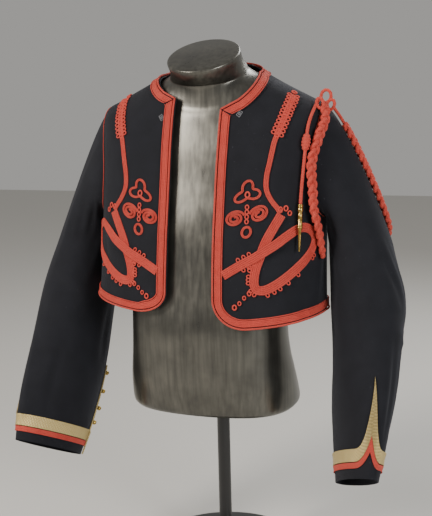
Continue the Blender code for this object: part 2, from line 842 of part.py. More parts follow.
def armhole_piping(name, side):
    """A thin piping on the panels, just inside the armhole."""
    places = []
    for i in range(SLEEVE_POINTS):
        turn = 2 * math.pi * i / SLEEVE_POINTS
        angle, down = armhole(turn)
        around, downward = slopes_of(body_skin, angle, down)
        away = downward.normalized() * math.cos(turn) + around.normalized() * math.sin(turn)
        angle, down = shifted(angle, down, away.normalized() * -(PIPING_WIDTH / 2 + PIPING_INSET))
        places.append((side * angle, down, 0.0))
    return flat_band(name, places, PIPING_WIDTH, PIPING_HIGH, ring=True)


def placed(across, down, side):
    return side * angle_at(across, down), down, 0.0


def trefoil_places(side):
    """A ring of three leaves, the upper piece of the scroll motif."""
    places = []
    for i in range(TREFOIL_POINTS):
        turn = 2 * math.pi * i / TREFOIL_POINTS
        reach = TREFOIL_RADIUS * (1 + TREFOIL_WAVE * math.cos(3 * turn))
        across = MOTIF_ACROSS + reach * math.sin(turn)
        places.append(placed(across, MOTIF_DOWN - reach * math.cos(turn), side))
    return places


def volute_places(side, way):
    """A spiral of the scroll motif; way 1 lies away from the middle and -1 towards it."""
    places = []
    for i in range(VOLUTE_POINTS + 1):
        share = i / VOLUTE_POINTS
        turn = VOLUTE_START + VOLUTE_TURN * share
        reach = VOLUTE_OUTER + (VOLUTE_INNER - VOLUTE_OUTER) * share
        across = MOTIF_ACROSS + way * (VOLUTE_ASIDE + reach * math.sin(turn))
        places.append(placed(across, VOLUTE_DOWN - reach * math.cos(turn), side))
    return places


def drop_places(side):
    """The small ring below the volutes."""
    places = []
    for i in range(DROP_POINTS):
        turn = 2 * math.pi * i / DROP_POINTS
        across = MOTIF_ACROSS + DROP_HALF_WIDTH * math.sin(turn)
        places.append(placed(across, DROP_DOWN - DROP_HALF_HEIGHT * math.cos(turn), side))
    return places


def smooth_route(points, spacing):
    """Evenly spaced points on a smooth line through the points of a route."""
    gone = [0.0]
    for before, after in zip(points, points[1:]):
        gone.append(gone[-1] + math.dist(before, after))
    curves = [Curve(gone, column) for column in zip(*points)]
    count = max(round(gone[-1] / spacing), 2)
    return [[curve(gone[-1] * i / count) for curve in curves] for i in range(count + 1)]


def tube(name, points, radius, ring=False):
    """A round cord through its points."""
    data = bpy.data.curves.new(name, "CURVE")
    data.dimensions = "3D"
    data.bevel_depth = radius
    data.bevel_resolution = 2
    data.use_fill_caps = not ring
    spline = data.splines.new("POLY")
    spline.points.add(len(points) - 1)
    for place, point in zip(spline.points, points):
        place.co = (*point, 1)
    spline.use_cyclic_u = ring
    return keep(bpy.data.objects.new(name, data), BRAID)


def knot_loop(loop):
    """One loop of the knot that stands on the shoulder."""
    tilt = math.radians(loop.tilt)
    points = []
    for i in range(LOOP_POINTS):
        turn = 2 * math.pi * i / LOOP_POINTS
        aside = loop.half_width * math.sin(turn)
        up = loop.half_height * math.cos(turn)
        x = loop.x + aside * math.cos(tilt) + up * math.sin(tilt)
        z = loop.z - aside * math.sin(tilt) + up * math.cos(tilt)
        points.append((x, loop.y, z))
    return tube(loop.name, points, KNOT_CORD, ring=True)


def ferrule():
    """The turned metal end of the hanging cord, from its top down to its tip."""
    bpy.ops.mesh.primitive_circle_add(vertices=FERRULE_SIDES, radius=1)
    outline = bpy.context.object
    ring = [vertex.co.copy() for vertex in outline.data.vertices]
    bpy.data.objects.remove(outline, do_unlink=True)
    top, tip = Vector(HANGING_ROUTE[-1]), Vector(FERRULE_TIP)
    way = (tip - top).normalized()
    turned = way.to_track_quat("Z", "Y")
    sections = []
    for level in FERRULE:
        middle = top + way * (TOUCH + level.down)
        sections.append([middle + turned @ Vector((p.x * level.radius, p.y * level.radius, 0)) for p in ring])
    return loft("ferrule", sections, BRASS)


def make_cords():
    for loop in KNOT_LOOPS:
        knot_loop(loop)
    front_plait = [body(math.radians(angle), down, out) for angle, down, out in FRONT_PLAIT]
    tube("plait_front", smooth_route([tuple(point) for point in front_plait], PLAIT_SPACING), PLAIT_RADIUS)
    back_plait = [sleeve(math.radians(turn), along, PLAIT_OUT) for turn, along in BACK_PLAIT]
    tube("plait_back", smooth_route([tuple(point) for point in back_plait], PLAIT_SPACING), PLAIT_RADIUS)
    route = smooth_route(HANGING_ROUTE, CORD_STEP)
    above = [point for point in route if point[2] > SLIDE_HIGH + TOUCH]
    below = [point for point in route if point[2] < SLIDE_LOW - TOUCH]
    tube("cord_upper", above[::CORD_EVERY] + [above[-1]], CORD_RADIUS)
    tube("cord_lower", below[::CORD_EVERY] + [below[-1]], CORD_RADIUS)
    within = [point for point in route if SLIDE_LOW < point[2] < SLIDE_HIGH]
    tube("slide_knot", [within[0], within[len(within) // 2], within[-1]], SLIDE_RADIUS)
    ferrule()


def form_ring(ring):
    angles = [2 * math.pi * i / FORM_POINTS for i in range(FORM_POINTS)]
    return [ring_point(ring, angle) for angle in angles]


def neck_ring(ring):
    points = []
    for i in range(FORM_POINTS):
        angle = 2 * math.pi * i / FORM_POINTS
        y = ring.y - ring.half_depth * math.cos(angle)
        z = ring.z + ring.slope * (y - ring.y)
        points.append(Vector((ring.half_width * math.sin(angle), y, z)))
    return points


def yoke_ring(down):
    points = []
    for i in range(FORM_POINTS):
        angle = 2 * math.pi * i / FORM_POINTS
        ease = CLOTH + FORM_GAP + FORM_EASE * min(FORM_EASE_SPREAD * math.cos(angle) ** 2, 1)
        points.append(body(angle, down, -ease))
    return points


def make_form():
    sections = [neck_ring(ring) for ring in NECK_RINGS]
    sections += [yoke_ring(down) for down in FORM_YOKE]
    sections += [form_ring(ring) for ring in FORM_RINGS]
    return loft("dress_form", sections, FORM_SKIN)


def disc(name, radius, low, high, bevel=0.0):
    """A round piece standing on the pole's axis."""
    bpy.ops.mesh.primitive_cylinder_add(vertices=DISC_SIDES, radius=radius, depth=high - low)
    part = bpy.context.object
    part.name = name
    part.location = (0, 0, (low + high) / 2)
    for home in part.users_collection:
        home.objects.unlink(part)
    keep(part, IRON)
    if bevel:
        rim = part.modifiers.new("rim", "BEVEL")
        rim.width = bevel
        rim.segments = 1
        rim.limit_method = "ANGLE"
    return part


def make_stand():
    bottom = FORM_RINGS[-1].z_side
    collar_low = bottom - TOUCH - POLE_COLLAR_HIGH
    disc("stand_base", BASE_RADIUS, 0, BASE_HIGH, bevel=BASE_BEVEL)
    disc("stand_pole", POLE_RADIUS, BASE_HIGH + TOUCH, collar_low - TOUCH)
    disc("stand_collar", POLE_COLLAR_RADIUS, collar_low, bottom - TOUCH)


def start():
    for part in list(bpy.data.objects):
        bpy.data.objects.remove(part, do_unlink=True)
    home = bpy.data.collections.new(COLLECTION)
    bpy.context.scene.collection.children.link(home)


def main():
    start()
    make_form()
    make_stand()
    make_front("front_left", 1)
    make_front("front_right", -1)
    make_back()
    edge_band("braid_neck", neck_places(), (corner_skew(1), corner_skew(-1)), -1, NECK_LIFT)
    edge_band("braid_edge_left", front_edge_places(1), (corner_skew(1), 0.0), side=1)
    edge_band("braid_edge_right", front_edge_places(-1), (corner_skew(-1), 0.0), side=-1)
    edge_band("braid_hem_back", back_hem_places(), lift=NECK_LIFT)
    for name, side in (("left", 1), ("right", -1)):
        armhole_piping("armhole_piping_" + name, side)
        flat_band("loop_braid_" + name, smooth_places(LOOP_BRAID, BRAID_SPACING, side), WIDE_BRAID)
        flat_band("shoulder_braid_" + name, smooth_places(SHOULDER_BRAID, BRAID_SPACING, side), NARROW_BRAID)
        flat_band("shoulder_pad_" + name, smooth_places(SHOULDER_PAD, BRAID_SPACING, side), PAD_BRAID)
        flat_band("scroll_leaves_" + name, trefoil_places(side), SOUTACHE, ring=True)
        flat_band("scroll_outer_" + name, volute_places(side, 1), SOUTACHE)
        flat_band("scroll_inner_" + name, volute_places(side, -1), SOUTACHE)
        flat_band("scroll_drop_" + name, drop_places(side), SOUTACHE, ring=True)
    for name, mirror, tip in (("left", False, POINT_TURN_LEFT), ("right", True, POINT_TURN_RIGHT)):
        make_sleeve("sleeve_" + name, mirror)
        cuff_trim("galon_" + name, galon_low, galon_high, tip, LACE, mirror, GALON_ROWS)
        cuff_trim("cuff_braid_" + name, cuff_braid_low, cuff_braid_high, tip, BRAID, mirror, CUFF_BRAID_ROWS)
        slit_edging("slit_edging_" + name, tip, mirror)
        for number, up in enumerate(SLIT_BUTTONS, 1):
            ball_button(f"button_{name}_{number}", tip, up, mirror)
    make_cords()


main()
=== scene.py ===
# %% [markdown]
# # A zouave bolero on a dress form
# A zouave bolero is a short collarless jacket of dark wool cloth. Its fronts are cut round and stay open.
# Red wool braid edges it and is sewn on as ornament, gold lace runs round the cuffs, and a plaited cord
# hangs from the left shoulder. It is shown on a smooth limbless form, on a pole with a round base.
#
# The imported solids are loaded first, as a fixed frame. Everything made here lies on the same surfaces, in
# metres, with +Z up, -Y to the front and +X to the wearer's left.

# %% Load the frame
import math
from collections import namedtuple
from functools import lru_cache
from itertools import accumulate

import bmesh
import bpy
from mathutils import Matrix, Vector


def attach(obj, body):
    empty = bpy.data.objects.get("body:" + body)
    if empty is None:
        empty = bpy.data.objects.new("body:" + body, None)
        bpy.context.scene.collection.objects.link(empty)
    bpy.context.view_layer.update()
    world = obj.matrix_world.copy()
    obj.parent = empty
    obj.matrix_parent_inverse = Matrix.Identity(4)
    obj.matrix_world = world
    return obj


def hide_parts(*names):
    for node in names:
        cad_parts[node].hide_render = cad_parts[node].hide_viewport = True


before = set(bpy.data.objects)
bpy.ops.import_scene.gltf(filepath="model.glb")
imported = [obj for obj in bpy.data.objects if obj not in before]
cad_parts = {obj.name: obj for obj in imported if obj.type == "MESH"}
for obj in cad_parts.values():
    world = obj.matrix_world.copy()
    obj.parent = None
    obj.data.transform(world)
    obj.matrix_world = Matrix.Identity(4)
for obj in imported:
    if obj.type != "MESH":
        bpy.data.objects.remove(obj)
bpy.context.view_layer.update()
print("solids in the frame:", len(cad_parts))

# %% [markdown]
# ## Camera
# The camera comes first, because the room that the cords take is judged from it. The jacket is seen from
# a little to its left and a little above, with a long lens, and turned by just over a degree.

# %% Camera
CAMERA_AZIMUTH = math.radians(20)
CAMERA_HEIGHT = math.radians(10)
CAMERA_ROLL = math.radians(-1.4)
CAMERA_DISTANCE = 1.80
CAMERA_LENS = 68.6
CAMERA_TARGET = Vector((0, 0, 0.575))
CAMERA_SHIFT_X = -0.0068


def camera_axes():
    """The directions towards the camera, to its right and up."""
    level = math.cos(CAMERA_HEIGHT)
    back = Vector(
        (math.sin(CAMERA_AZIMUTH) * level, -math.cos(CAMERA_AZIMUTH) * level, math.sin(CAMERA_HEIGHT))
    )
    right = Vector((math.cos(CAMERA_AZIMUTH), math.sin(CAMERA_AZIMUTH), 0))
    up = back.cross(right)
    c, s = math.cos(CAMERA_ROLL), math.sin(CAMERA_ROLL)
    return back, right * c + up * s, up * c - right * s


camera_data = bpy.data.cameras.new("camera")
camera_data.lens = CAMERA_LENS
camera_data.sensor_width = 36
camera_data.sensor_fit = "VERTICAL"
camera_data.sensor_height = 36
camera_data.shift_x = CAMERA_SHIFT_X
camera = bpy.data.objects.new("camera", camera_data)
bpy.context.scene.collection.objects.link(camera)
toward, right_way, up_way = camera_axes()
turned = camera.matrix_world.to_3x3()
for row in range(3):
    turned[row] = (right_way[row], up_way[row], toward[row])
camera.matrix_world = turned.to_4x4()
camera.location = CAMERA_TARGET + toward * CAMERA_DISTANCE
bpy.context.scene.camera = camera
print("camera at", tuple(round(v, 3) for v in camera.location))

# %% [markdown]
# ## The cut of the jacket
# The body is read as rings from the neckline to the hem, and a sleeve as rings from the armhole to the
# cuff. A smooth curve joins the rings, so any place on the cloth can be asked for with two numbers.
# Braid, lace and cord are all placed that way, which keeps each of them on the cloth.

# %% Cloth, seams and braid
CLOTH = 0.002
SEAM_GAP = 0.0005
TOUCH = 0.0003
BRAID_LIFT = 0.0007
NECK_LIFT = 0.0016
SIDE = math.radians(90)
BACK = math.radians(180)

# %% Rows and smooth curves through them
def row_list(kind, *values):
    """Rows with named columns, from plain tuples of numbers."""
    return [kind(*row) for row in values]


def evenly(start, end, steps):
    """Evenly spaced values from start to end, both included."""
    return [start + (end - start) * i / steps for i in range(steps + 1)]


def running(lengths):
    """How far each point of a line is from its first one."""
    return [0.0, *accumulate(lengths)]


def turns_of(count):
    """Evenly spaced angles of one full turn."""
    return [2 * math.pi * i / count for i in range(count)]


class Curve:
    """A smooth curve through the points (xs, ys), read at any x."""

    def __init__(self, xs, ys):
        self.xs = xs
        self.ys = ys
        last = len(xs) - 1
        self.slopes = []
        for i in range(len(xs)):
            low, high = max(i - 1, 0), min(i + 1, last)
            self.slopes.append((ys[high] - ys[low]) / (xs[high] - xs[low]))

    def __call__(self, x):
        i = 0
        while i < len(self.xs) - 2 and x > self.xs[i + 1]:
            i += 1
        step = self.xs[i + 1] - self.xs[i]
        t = (x - self.xs[i]) / step
        rise = t * t * (3 - 2 * t)
        leave = t * (1 - t) * (1 - t) * step * self.slopes[i]
        arrive = t * t * (t - 1) * step * self.slopes[i + 1]
        return self.ys[i] * (1 - rise) + self.ys[i + 1] * rise + leave + arrive


class Table:
    """Rows with named columns, smoothed and read by their first column."""

    def __init__(self, rows):
        self.kind = type(rows[0])
        columns = list(zip(*rows))
        self.curves = [Curve(columns[0], column) for column in columns]
        self.found = {}

    def __call__(self, x):
        if x not in self.found:
            self.found[x] = self.kind(*[curve(x) for curve in self.curves])
        return self.found[x]


# %% Rings of the body
# Rings round the jacket's body, from the neckline down to the hem.
# down is the distance from the neckline along the shoulder and side seams.
Ring = namedtuple("Ring", "down z_front z_side z_back half_width y_front y_back")
BODY_RINGS = row_list(
    Ring,
    (0.000, 0.868, 0.905, 0.926, 0.086, -0.092, 0.055),
    (0.04, 0.842, 0.892, 0.902, 0.115, -0.1, 0.075),
    (0.08, 0.814, 0.878, 0.872, 0.146, -0.106, 0.092),
    (0.12, 0.786, 0.863, 0.84, 0.177, -0.112, 0.103),
    (0.152, 0.762, 0.849, 0.812, 0.201, -0.117, 0.111),
    (0.195, 0.729, 0.807, 0.773, 0.207, -0.124, 0.117),
    (0.24, 0.695, 0.761, 0.731, 0.207, -0.131, 0.116),
    (0.29, 0.658, 0.711, 0.688, 0.206, -0.139, 0.109),
    (0.338, 0.622, 0.663, 0.646, 0.205, -0.146, 0.099),
    (0.42, 0.552, 0.581, 0.568, 0.206, -0.154, 0.084),
    (0.503, 0.478, 0.499, 0.487, 0.209, -0.158, 0.068),
)
HEM = BODY_RINGS[-1].down
BOXY = 0.16
BACK_FALL = 1.4

# The right front hangs a little shorter than the left one
RIGHT_LIFT = 0.022

# The armhole is an oval on the body
SHOULDER_TIP = 0.152
ARMPIT = 0.338
ARMHOLE_REACH = math.radians(28)
body_ring = Table(BODY_RINGS)


# %% The body's surface
def ring_point(ring, angle):
    """A point on a ring. Angle 0 is centre front and 90 degrees the wearer's left side."""
    s, c = math.sin(angle), math.cos(angle)
    z_end, y_end = (ring.z_front, ring.y_front) if c > 0 else (ring.z_back, ring.y_back)
    y_side = (ring.y_front + ring.y_back) / 2
    drop = c * c if c > 0 else abs(c) ** BACK_FALL
    return Vector(
        (
            ring.half_width * s * (1 + BOXY * c * c),
            y_side + (y_end - y_side) * abs(c) * (1 + BOXY * s * s),
            ring.z_side + (z_end - ring.z_side) * drop,
        )
    )


def slopes_of(skin, u, v, step=0.002):
    """How a surface runs in its two directions at (u, v)."""
    along_u = (skin(u + step, v) - skin(u - step, v)) / (2 * step)
    along_v = (skin(u, v + step) - skin(u, v - step)) / (2 * step)
    return along_u, along_v


def smooth_body(angle, down):
    """A point on the jacket's body: the wearer's left has angles above 0, the right below."""
    point = ring_point(body_ring(down), angle)
    turned = math.atan2(math.sin(angle), math.cos(angle))
    if turned < 0:
        low = min(max((down - ARMPIT) / (HEM - ARMPIT), 0.0), 1.0)
        forward = (1 + math.cos(max(-turned - SIDE, 0.0) * 2)) / 2
        point.z += RIGHT_LIFT * low * low * forward
    return point


def angle_at_x(x, down, halvings=24):
    """The angle on the front at which the body is x from the middle."""
    low, high = 0.0, SIDE
    for _ in range(halvings):
        middle = (low + high) / 2
        if smooth_body(middle, down).x < x:
            low = middle
        else:
            high = middle
    return low


def angle_at(across, down, step=0.01):
    """The angle reached by going across, round the body from centre front."""
    angle, gone, here = 0.0, 0.0, smooth_body(0.0, down)
    while gone < across:
        there = smooth_body(angle + step, down)
        stride = (there - here).length
        if gone + stride > across:
            return angle + step * (across - gone) / stride
        angle, gone, here = angle + step, gone + stride, there
    return angle


# %% Rings of a sleeve
# Rings down the left sleeve from the armpit's level to the cuff.
# turn is the way that the flat of the sleeve lies, in degrees from the wearer's left.
SleeveRing = namedtuple("SleeveRing", "step x y z long short turn")
SLEEVE_RINGS = row_list(
    SleeveRing,
    (0, 0.262, 0.003, 0.6, 0.073, 0.0545, -90),
    (1, 0.2785, -0.022, 0.5, 0.077, 0.0635, -76),
    (2, 0.282, -0.065, 0.4, 0.079, 0.051, -61),
    (3, 0.285, -0.119, 0.305, 0.078, 0.038, -60),
    (4, 0.287, -0.156, 0.238, 0.069, 0.028, -62),
)
HEAD_SHARE = 0.42
HEAD_FULLNESS = 0.8
HEAD_EASE = 0.3
END_EASE = 0.7
HEAD_RISE = 0.5
LEAN_POWER = 4
END_STEP = 0.1
sleeve_table = Table(SLEEVE_RINGS)


# %% The sleeve's surface
def armhole(turn):
    """(angle, down) on the armhole: turn 0 is the shoulder tip, 90 degrees the front."""
    share = (1 - math.cos(turn)) / 2
    return SIDE - ARMHOLE_REACH * math.sin(turn), SHOULDER_TIP + share * (ARMPIT - SHOULDER_TIP)


def sleeve_ring(at, turn, step=0.05):
    """A point on the free part of the left sleeve, at a step of its table."""
    ring = sleeve_table(at)
    ahead, behind = sleeve_table(at + step), sleeve_table(at - step)
    down = Vector((ahead.x - behind.x, ahead.y - behind.y, ahead.z - behind.z)).normalized()
    way = math.radians(ring.turn)
    long_way = Vector((math.cos(way), math.sin(way), 0))
    long_way = (long_way - down * long_way.dot(down)).normalized()
    out_way = long_way.cross(down)
    centre = Vector((ring.x, ring.y, ring.z))
    return (
        centre
        + long_way * ring.long * math.sin(turn)
        + out_way * ring.short * math.cos(turn)
    )


def smooth_sleeve(turn, along):
    """A point on the left sleeve: along 0 is the armhole seam and 1 the cuff's edge."""
    if along >= HEAD_SHARE:
        return sleeve_ring((along - HEAD_SHARE) / (1 - HEAD_SHARE) * SLEEVE_RINGS[-1].step, turn)
    angle, down = armhole(turn)
    start = smooth_body(angle, down)
    around, downward = slopes_of(smooth_body, angle, down)
    normal = downward.cross(around).normalized()
    away = downward.normalized() * math.cos(turn) + around.normalized() * math.sin(turn)
    away.normalize()
    end = sleeve_ring(0, turn)
    end_way = (sleeve_ring(END_STEP, turn) - end).normalized()
    chord = (end - start).length
    lean = math.sin(turn / 2) ** LEAN_POWER
    top = ((1 + math.cos(turn)) / 2) ** 2
    start += away * SEAM_GAP
    start_way = (normal * (HEAD_RISE + lean) + away * (1 - lean)).normalized()
    t = along / HEAD_SHARE
    rise = t * t * (3 - 2 * t)
    return (
        start * (1 - rise)
        + end * rise
        + start_way * t * (1 - t) * (1 - t) * chord * (HEAD_FULLNESS - HEAD_EASE * top)
        + end_way * t * t * (t - 1) * chord * (1 - END_EASE * top)
    )


# %% Edges of the fronts, the neck and the armholes
# The fronts' edges: their distance from the middle, and the round lower corner
Edge = namedtuple("Edge", "down left right")
FRONT_EDGE = row_list(
    Edge,
    (0.000, 0.045, 0.038), (0.06, 0.042, 0.04), (0.12, 0.041, 0.041), (0.2, 0.04, 0.041), (0.34, 0.04, 0.041),
    (0.44, 0.04, 0.042),
)
CORNER_RADIUS = 0.060

# The neckline dips at the front, more on the left
NECK_DIP_LEFT = 0.042
NECK_DIP_RIGHT = 0.011
DIP_REACH = 0.14
SEAM_ANGLE = 0.0015
front_edge = Table(FRONT_EDGE)


def neck_fall(angle, down):
    """How far the neckline dips below its ring at an angle."""
    dip = NECK_DIP_LEFT if math.sin(angle) > 0 else NECK_DIP_RIGHT
    return dip * max(math.cos(angle), 0.0) * max(1 - down / DIP_REACH, 0.0)


def edge_place(down, side):
    """(angle, down) on the edge of a front, with its neck and round lower corner."""
    low = max(down - (HEM - CORNER_RADIUS), 0.0)
    turned_in = CORNER_RADIUS - math.sqrt(max(CORNER_RADIUS**2 - low**2, 0.0))
    at = down
    angle = 0.0
    for _ in range(3):
        edge = front_edge(min(at, FRONT_EDGE[-1].down))
        x = (edge.left if side > 0 else edge.right) + turned_in
        angle = angle_at_x(x, at)
        at = down + neck_fall(side * angle, down)
    return side * angle, at


def armhole_angle(down):
    """How far a panel's edge stands back from the side line at a level of the armhole."""
    if SHOULDER_TIP < down < ARMPIT:
        share = (down - SHOULDER_TIP) / (ARMPIT - SHOULDER_TIP)
        return ARMHOLE_REACH * math.sin(math.acos(1 - 2 * share))
    return SEAM_ANGLE


def fallen(angle, down):
    return angle, down + neck_fall(angle, down)


# %% [markdown]
# ## Folds in the cloth
# Heavy wool cloth folds softly: broad troughs at the elbows, a few ridges from the armpits, nearly flat
# fronts under the stiff braid. A cloth simulation would fold it anywhere, so each fold is listed
# instead. A row gives a fold's two ends on the cloth, its width and its height in millimetres; troughs
# have a height below 0.

# %% Tables of folds
Fold = namedtuple("Fold", "turn_0 at_0 turn_1 at_1 width high")
BODY_FOLDS = row_list(
    Fold,
    (66, 0.29, 50, 0.41, 14, -2.2), (84, 0.37, 74, 0.48, 11, 2.4), (56, 0.44, 60, 0.5, 12, -2.0),
    (36, 0.09, 40, 0.29, 18, 1.2), (70, 0.05, 60, 0.16, 12, 1.2), (-66, 0.3, -48, 0.42, 13, -2.0),
    (-82, 0.36, -76, 0.47, 10, 2.2), (-38, 0.08, -34, 0.28, 18, 1.2), (-68, 0.06, -62, 0.17, 12, 1.1),
    (98, 0.16, 112, 0.35, 12, 2.0), (108, 0.35, 122, 0.5, 13, -3.2), (128, 0.24, 140, 0.47, 14, 2.6),
    (150, 0.08, 212, 0.095, 14, 1.4), (158, 0.32, 166, 0.5, 15, -3.4), (182, 0.25, 187, 0.48, 16, 2.4),
    (206, 0.34, 201, 0.5, 13, -2.8), (232, 0.22, 219, 0.45, 15, 2.7), (247, 0.36, 240, 0.5, 12, -3.0),
    (261, 0.17, 250, 0.34, 12, 1.9),
)
LEFT_SLEEVE_FOLDS = row_list(
    Fold,
    (114, 0.24, 66, 0.268, 5, -2.6), (76, 0.33, 60, 0.47, 15, -4.4), (97, 0.55, 58, 0.512, 8, -3.4),
    (104, 0.48, 84, 0.59, 9, 2.6), (30, 0.4, 16, 0.57, 7, 2.6), (14, 0.42, -4, 0.62, 6, 2.2),
    (44, 0.44, 30, 0.56, 6, -2.2), (66, 0.58, 8, 0.606, 5, -2.4), (58, 0.625, 4, 0.652, 6, 2.0),
    (58, 0.65, 70, 0.87, 10, -3.6), (30, 0.64, 40, 0.82, 8, 2.6), (150, 0.2, 124, 0.5, 10, 3.2),
    (134, 0.15, 116, 0.37, 8, -3.0), (150, 0.59, 118, 0.63, 8, -3.0), (200, 0.46, 238, 0.61, 9, -3.4),
    (250, 0.3, 228, 0.56, 9, 2.8), (-62, 0.47, -28, 0.62, 8, -3.0), (300, 0.64, 284, 0.86, 9, -2.6),
    (220, 0.68, 236, 0.87, 8, 2.4),
)
RIGHT_SLEEVE_FOLDS = row_list(
    Fold,
    (150, 0.2, 138, 0.52, 10, 3.2), (122, 0.17, 112, 0.42, 9, -2.8), (84, 0.54, 154, 0.612, 9, -4.6),
    (78, 0.496, 146, 0.566, 10, 3.2), (98, 0.6, 162, 0.658, 8, 2.8), (66, 0.585, 96, 0.64, 8, -2.2),
    (82, 0.68, 128, 0.752, 7, -2.8), (98, 0.74, 112, 0.9, 9, 2.2), (148, 0.72, 152, 0.89, 10, -2.8),
    (60, 0.28, 72, 0.5, 10, 2.4), (92, 0.25, 98, 0.44, 11, -2.6), (230, 0.44, 268, 0.56, 9, -3.4),
    (250, 0.26, 222, 0.52, 9, 2.8), (-42, 0.48, 2, 0.6, 8, -3.0), (272, 0.64, 254, 0.86, 9, 2.4),
    (198, 0.58, 218, 0.72, 9, -3.0),
)
BODY_REACH = 200
SLEEVE_REACH = 75
SLEEVE_LENGTH = 660


def fold_height(folds, turn, at, reach, length):
    """How far a set of folds moves the cloth out at a place, in metres."""
    high = 0.0
    for fold in folds:
        along = (at - fold.at_0) * length
        way_along = (fold.at_1 - fold.at_0) * length
        if not min(0.0, way_along) < along + 3 * fold.width < max(0.0, way_along) + 6 * fold.width:
            continue
        across = math.radians((turn - fold.turn_0 + 180) % 360 - 180) * reach
        way_across = math.radians(fold.turn_1 - fold.turn_0) * reach
        share = (across * way_across + along * way_along) / (way_across**2 + way_along**2)
        share = min(max(share, 0.0), 1.0)
        off = (across - way_across * share) ** 2 + (along - way_along * share) ** 2
        if off < (3 * fold.width) ** 2:
            fade = 0.35 + 0.65 * math.sin(math.pi * share)
            high += fold.high * fade * math.exp(-off / fold.width**2)
    return high / 1000


# %% The creased surfaces
SEAM_FADE = 0.05


@lru_cache(maxsize=None)
def body_skin(angle, down):
    """A place on the jacket's body, with its folds."""
    point = smooth_body(angle, down)
    out = fold_height(BODY_FOLDS, math.degrees(angle), down, BODY_REACH, 1000)
    return point + Vector((math.sin(angle), -math.cos(angle), 0)) * out


def creased_sleeve(folds, side):
    """The surface of a left-hand sleeve with its own folds. At its seam it follows the body's folds."""

    @lru_cache(maxsize=None)
    def skin(turn, along):
        point = smooth_sleeve(turn, along)
        fade = min(max(along / SEAM_FADE, 0.0), 1.0)
        if fade < 1:
            angle, down = armhole(turn)
            moved = body_skin(side * angle, down) - smooth_body(side * angle, down)
            point += Vector((side * moved.x, moved.y, moved.z)) * (1 - fade)
        out = fold_height(folds, math.degrees(turn), along, SLEEVE_REACH, SLEEVE_LENGTH) * fade
        ring = sleeve_table(max((along - HEAD_SHARE) / (1 - HEAD_SHARE), 0.0) * SLEEVE_RINGS[-1].step)
        way = math.radians(ring.turn)
        long_way = Vector((math.cos(way), math.sin(way), 0))
        side_way = Vector((-long_way.y, long_way.x, 0))
        return point + (long_way * math.sin(turn) + side_way * math.cos(turn)) * out

    return skin


sleeve_skins = {"left": creased_sleeve(LEFT_SLEEVE_FOLDS, 1), "right": creased_sleeve(RIGHT_SLEEVE_FOLDS, -1)}


def off_surface(skin, u, v, out, sign):
    """A place moved straight out from a surface."""
    along_u, along_v = slopes_of(skin, u, v)
    return skin(u, v) + along_v.cross(along_u).normalized() * out * sign


def body(angle, down, out=0.0):
    return off_surface(body_skin, angle, down, out, 1)


def sleeve(side, turn, along, out=0.0):
    return off_surface(sleeve_skins[side], turn, along, out, -1)


print(
    "a fold's height at the left elbow:",
    round(1000 * fold_height(LEFT_SLEEVE_FOLDS, 70, 0.4, 75, 660), 2),
    "mm",
)

# %% Lines on the cloth
def shifted(angle, down, way):
    """(angle, down) moved by a short vector along the cloth."""
    around, downward = slopes_of(body_skin, angle, down)
    aa, ad, dd = around.dot(around), around.dot(downward), downward.dot(downward)
    a, d = way.dot(around), way.dot(downward)
    spread = aa * dd - ad * ad
    return angle + (a * dd - d * ad) / spread, down + (d * aa - a * ad) / spread


def frame_on(places, i):
    """The way along a line of places on the cloth, and the way to its left, seen from outside."""
    before, after = places[max(i - 1, 0)], places[min(i + 1, len(places) - 1)]
    along = (body_skin(*after) - body_skin(*before)).normalized()
    around, downward = slopes_of(body_skin, *places[i])
    normal = downward.cross(around).normalized()
    along = (along - normal * along.dot(normal)).normalized()
    return along, normal.cross(along)


def smooth_places(ways, spacing, side):
    """Evenly spaced (angle, down, lift) on a smooth line through an ornament's rows."""
    gone = running(math.dist(a[:2], b[:2]) for a, b in zip(ways, ways[1:]))
    curves = [Curve(gone, column) for column in zip(*ways)]
    places = []
    for at in evenly(0.0, gone[-1], max(round(gone[-1] / spacing), 4)):
        across, down, lift = [curve(at) for curve in curves]
        places.append((side * angle_at(across, down), down, max(lift, 0.0) * CROSSING_LIFT))
    return places


# %% [markdown]
# ## Finishes
# Each finish is named for the real material. Cloth and braid are matt with a soft sheen, because wool
# fibres stand up from them. Lace is woven from gilt metal thread, so it is part metal and rougher than a
# button. The threads are drawn from each piece's own UV map, which holds millimetres across and along the
# piece.

# %% Helpers for finishes
# A mix of two colours: its kind and output, and its sockets for the share and the colours
TWO_COLOURS = {"out": 2, "data_type": "RGBA"}
SHARE, FIRST, SECOND = 0, 6, 7


def linear(code):
    """A linear colour from an sRGB hex code."""
    values = []
    for i in (1, 3, 5):
        v = int(code[i : i + 2], 16) / 255
        values.append(v / 12.92 if v <= 0.04045 else ((v + 0.055) / 1.055) ** 2.4)
    return (*values, 1.0)


def add_node(tree, kind, inputs=(), out=0, **settings):
    """Adds a node with its settings and links, and gives one of its outputs, if it is asked for.

    inputs is a list, or names what each value is for; a value is plain or another node's output.
    """
    made = tree.nodes.new(kind)
    for name, value in settings.items():
        setattr(made, name, value)
    for name, value in inputs.items() if isinstance(inputs, dict) else enumerate(inputs):
        if isinstance(value, bpy.types.NodeSocket):
            tree.links.new(value, made.inputs[name])
        else:
            made.inputs[name].default_value = value
    return None if out is None else made.outputs[out]


def new_finish(name, **values):
    """A material with its shader's plain values set, and its tree and shader."""
    material = bpy.data.materials.new(name)
    material.use_nodes = True
    tree = material.node_tree
    shader = tree.nodes["Principled BSDF"]
    for key, value in values.items():
        shader.inputs[key.replace("_", " ")].default_value = value
    return material, tree, shader


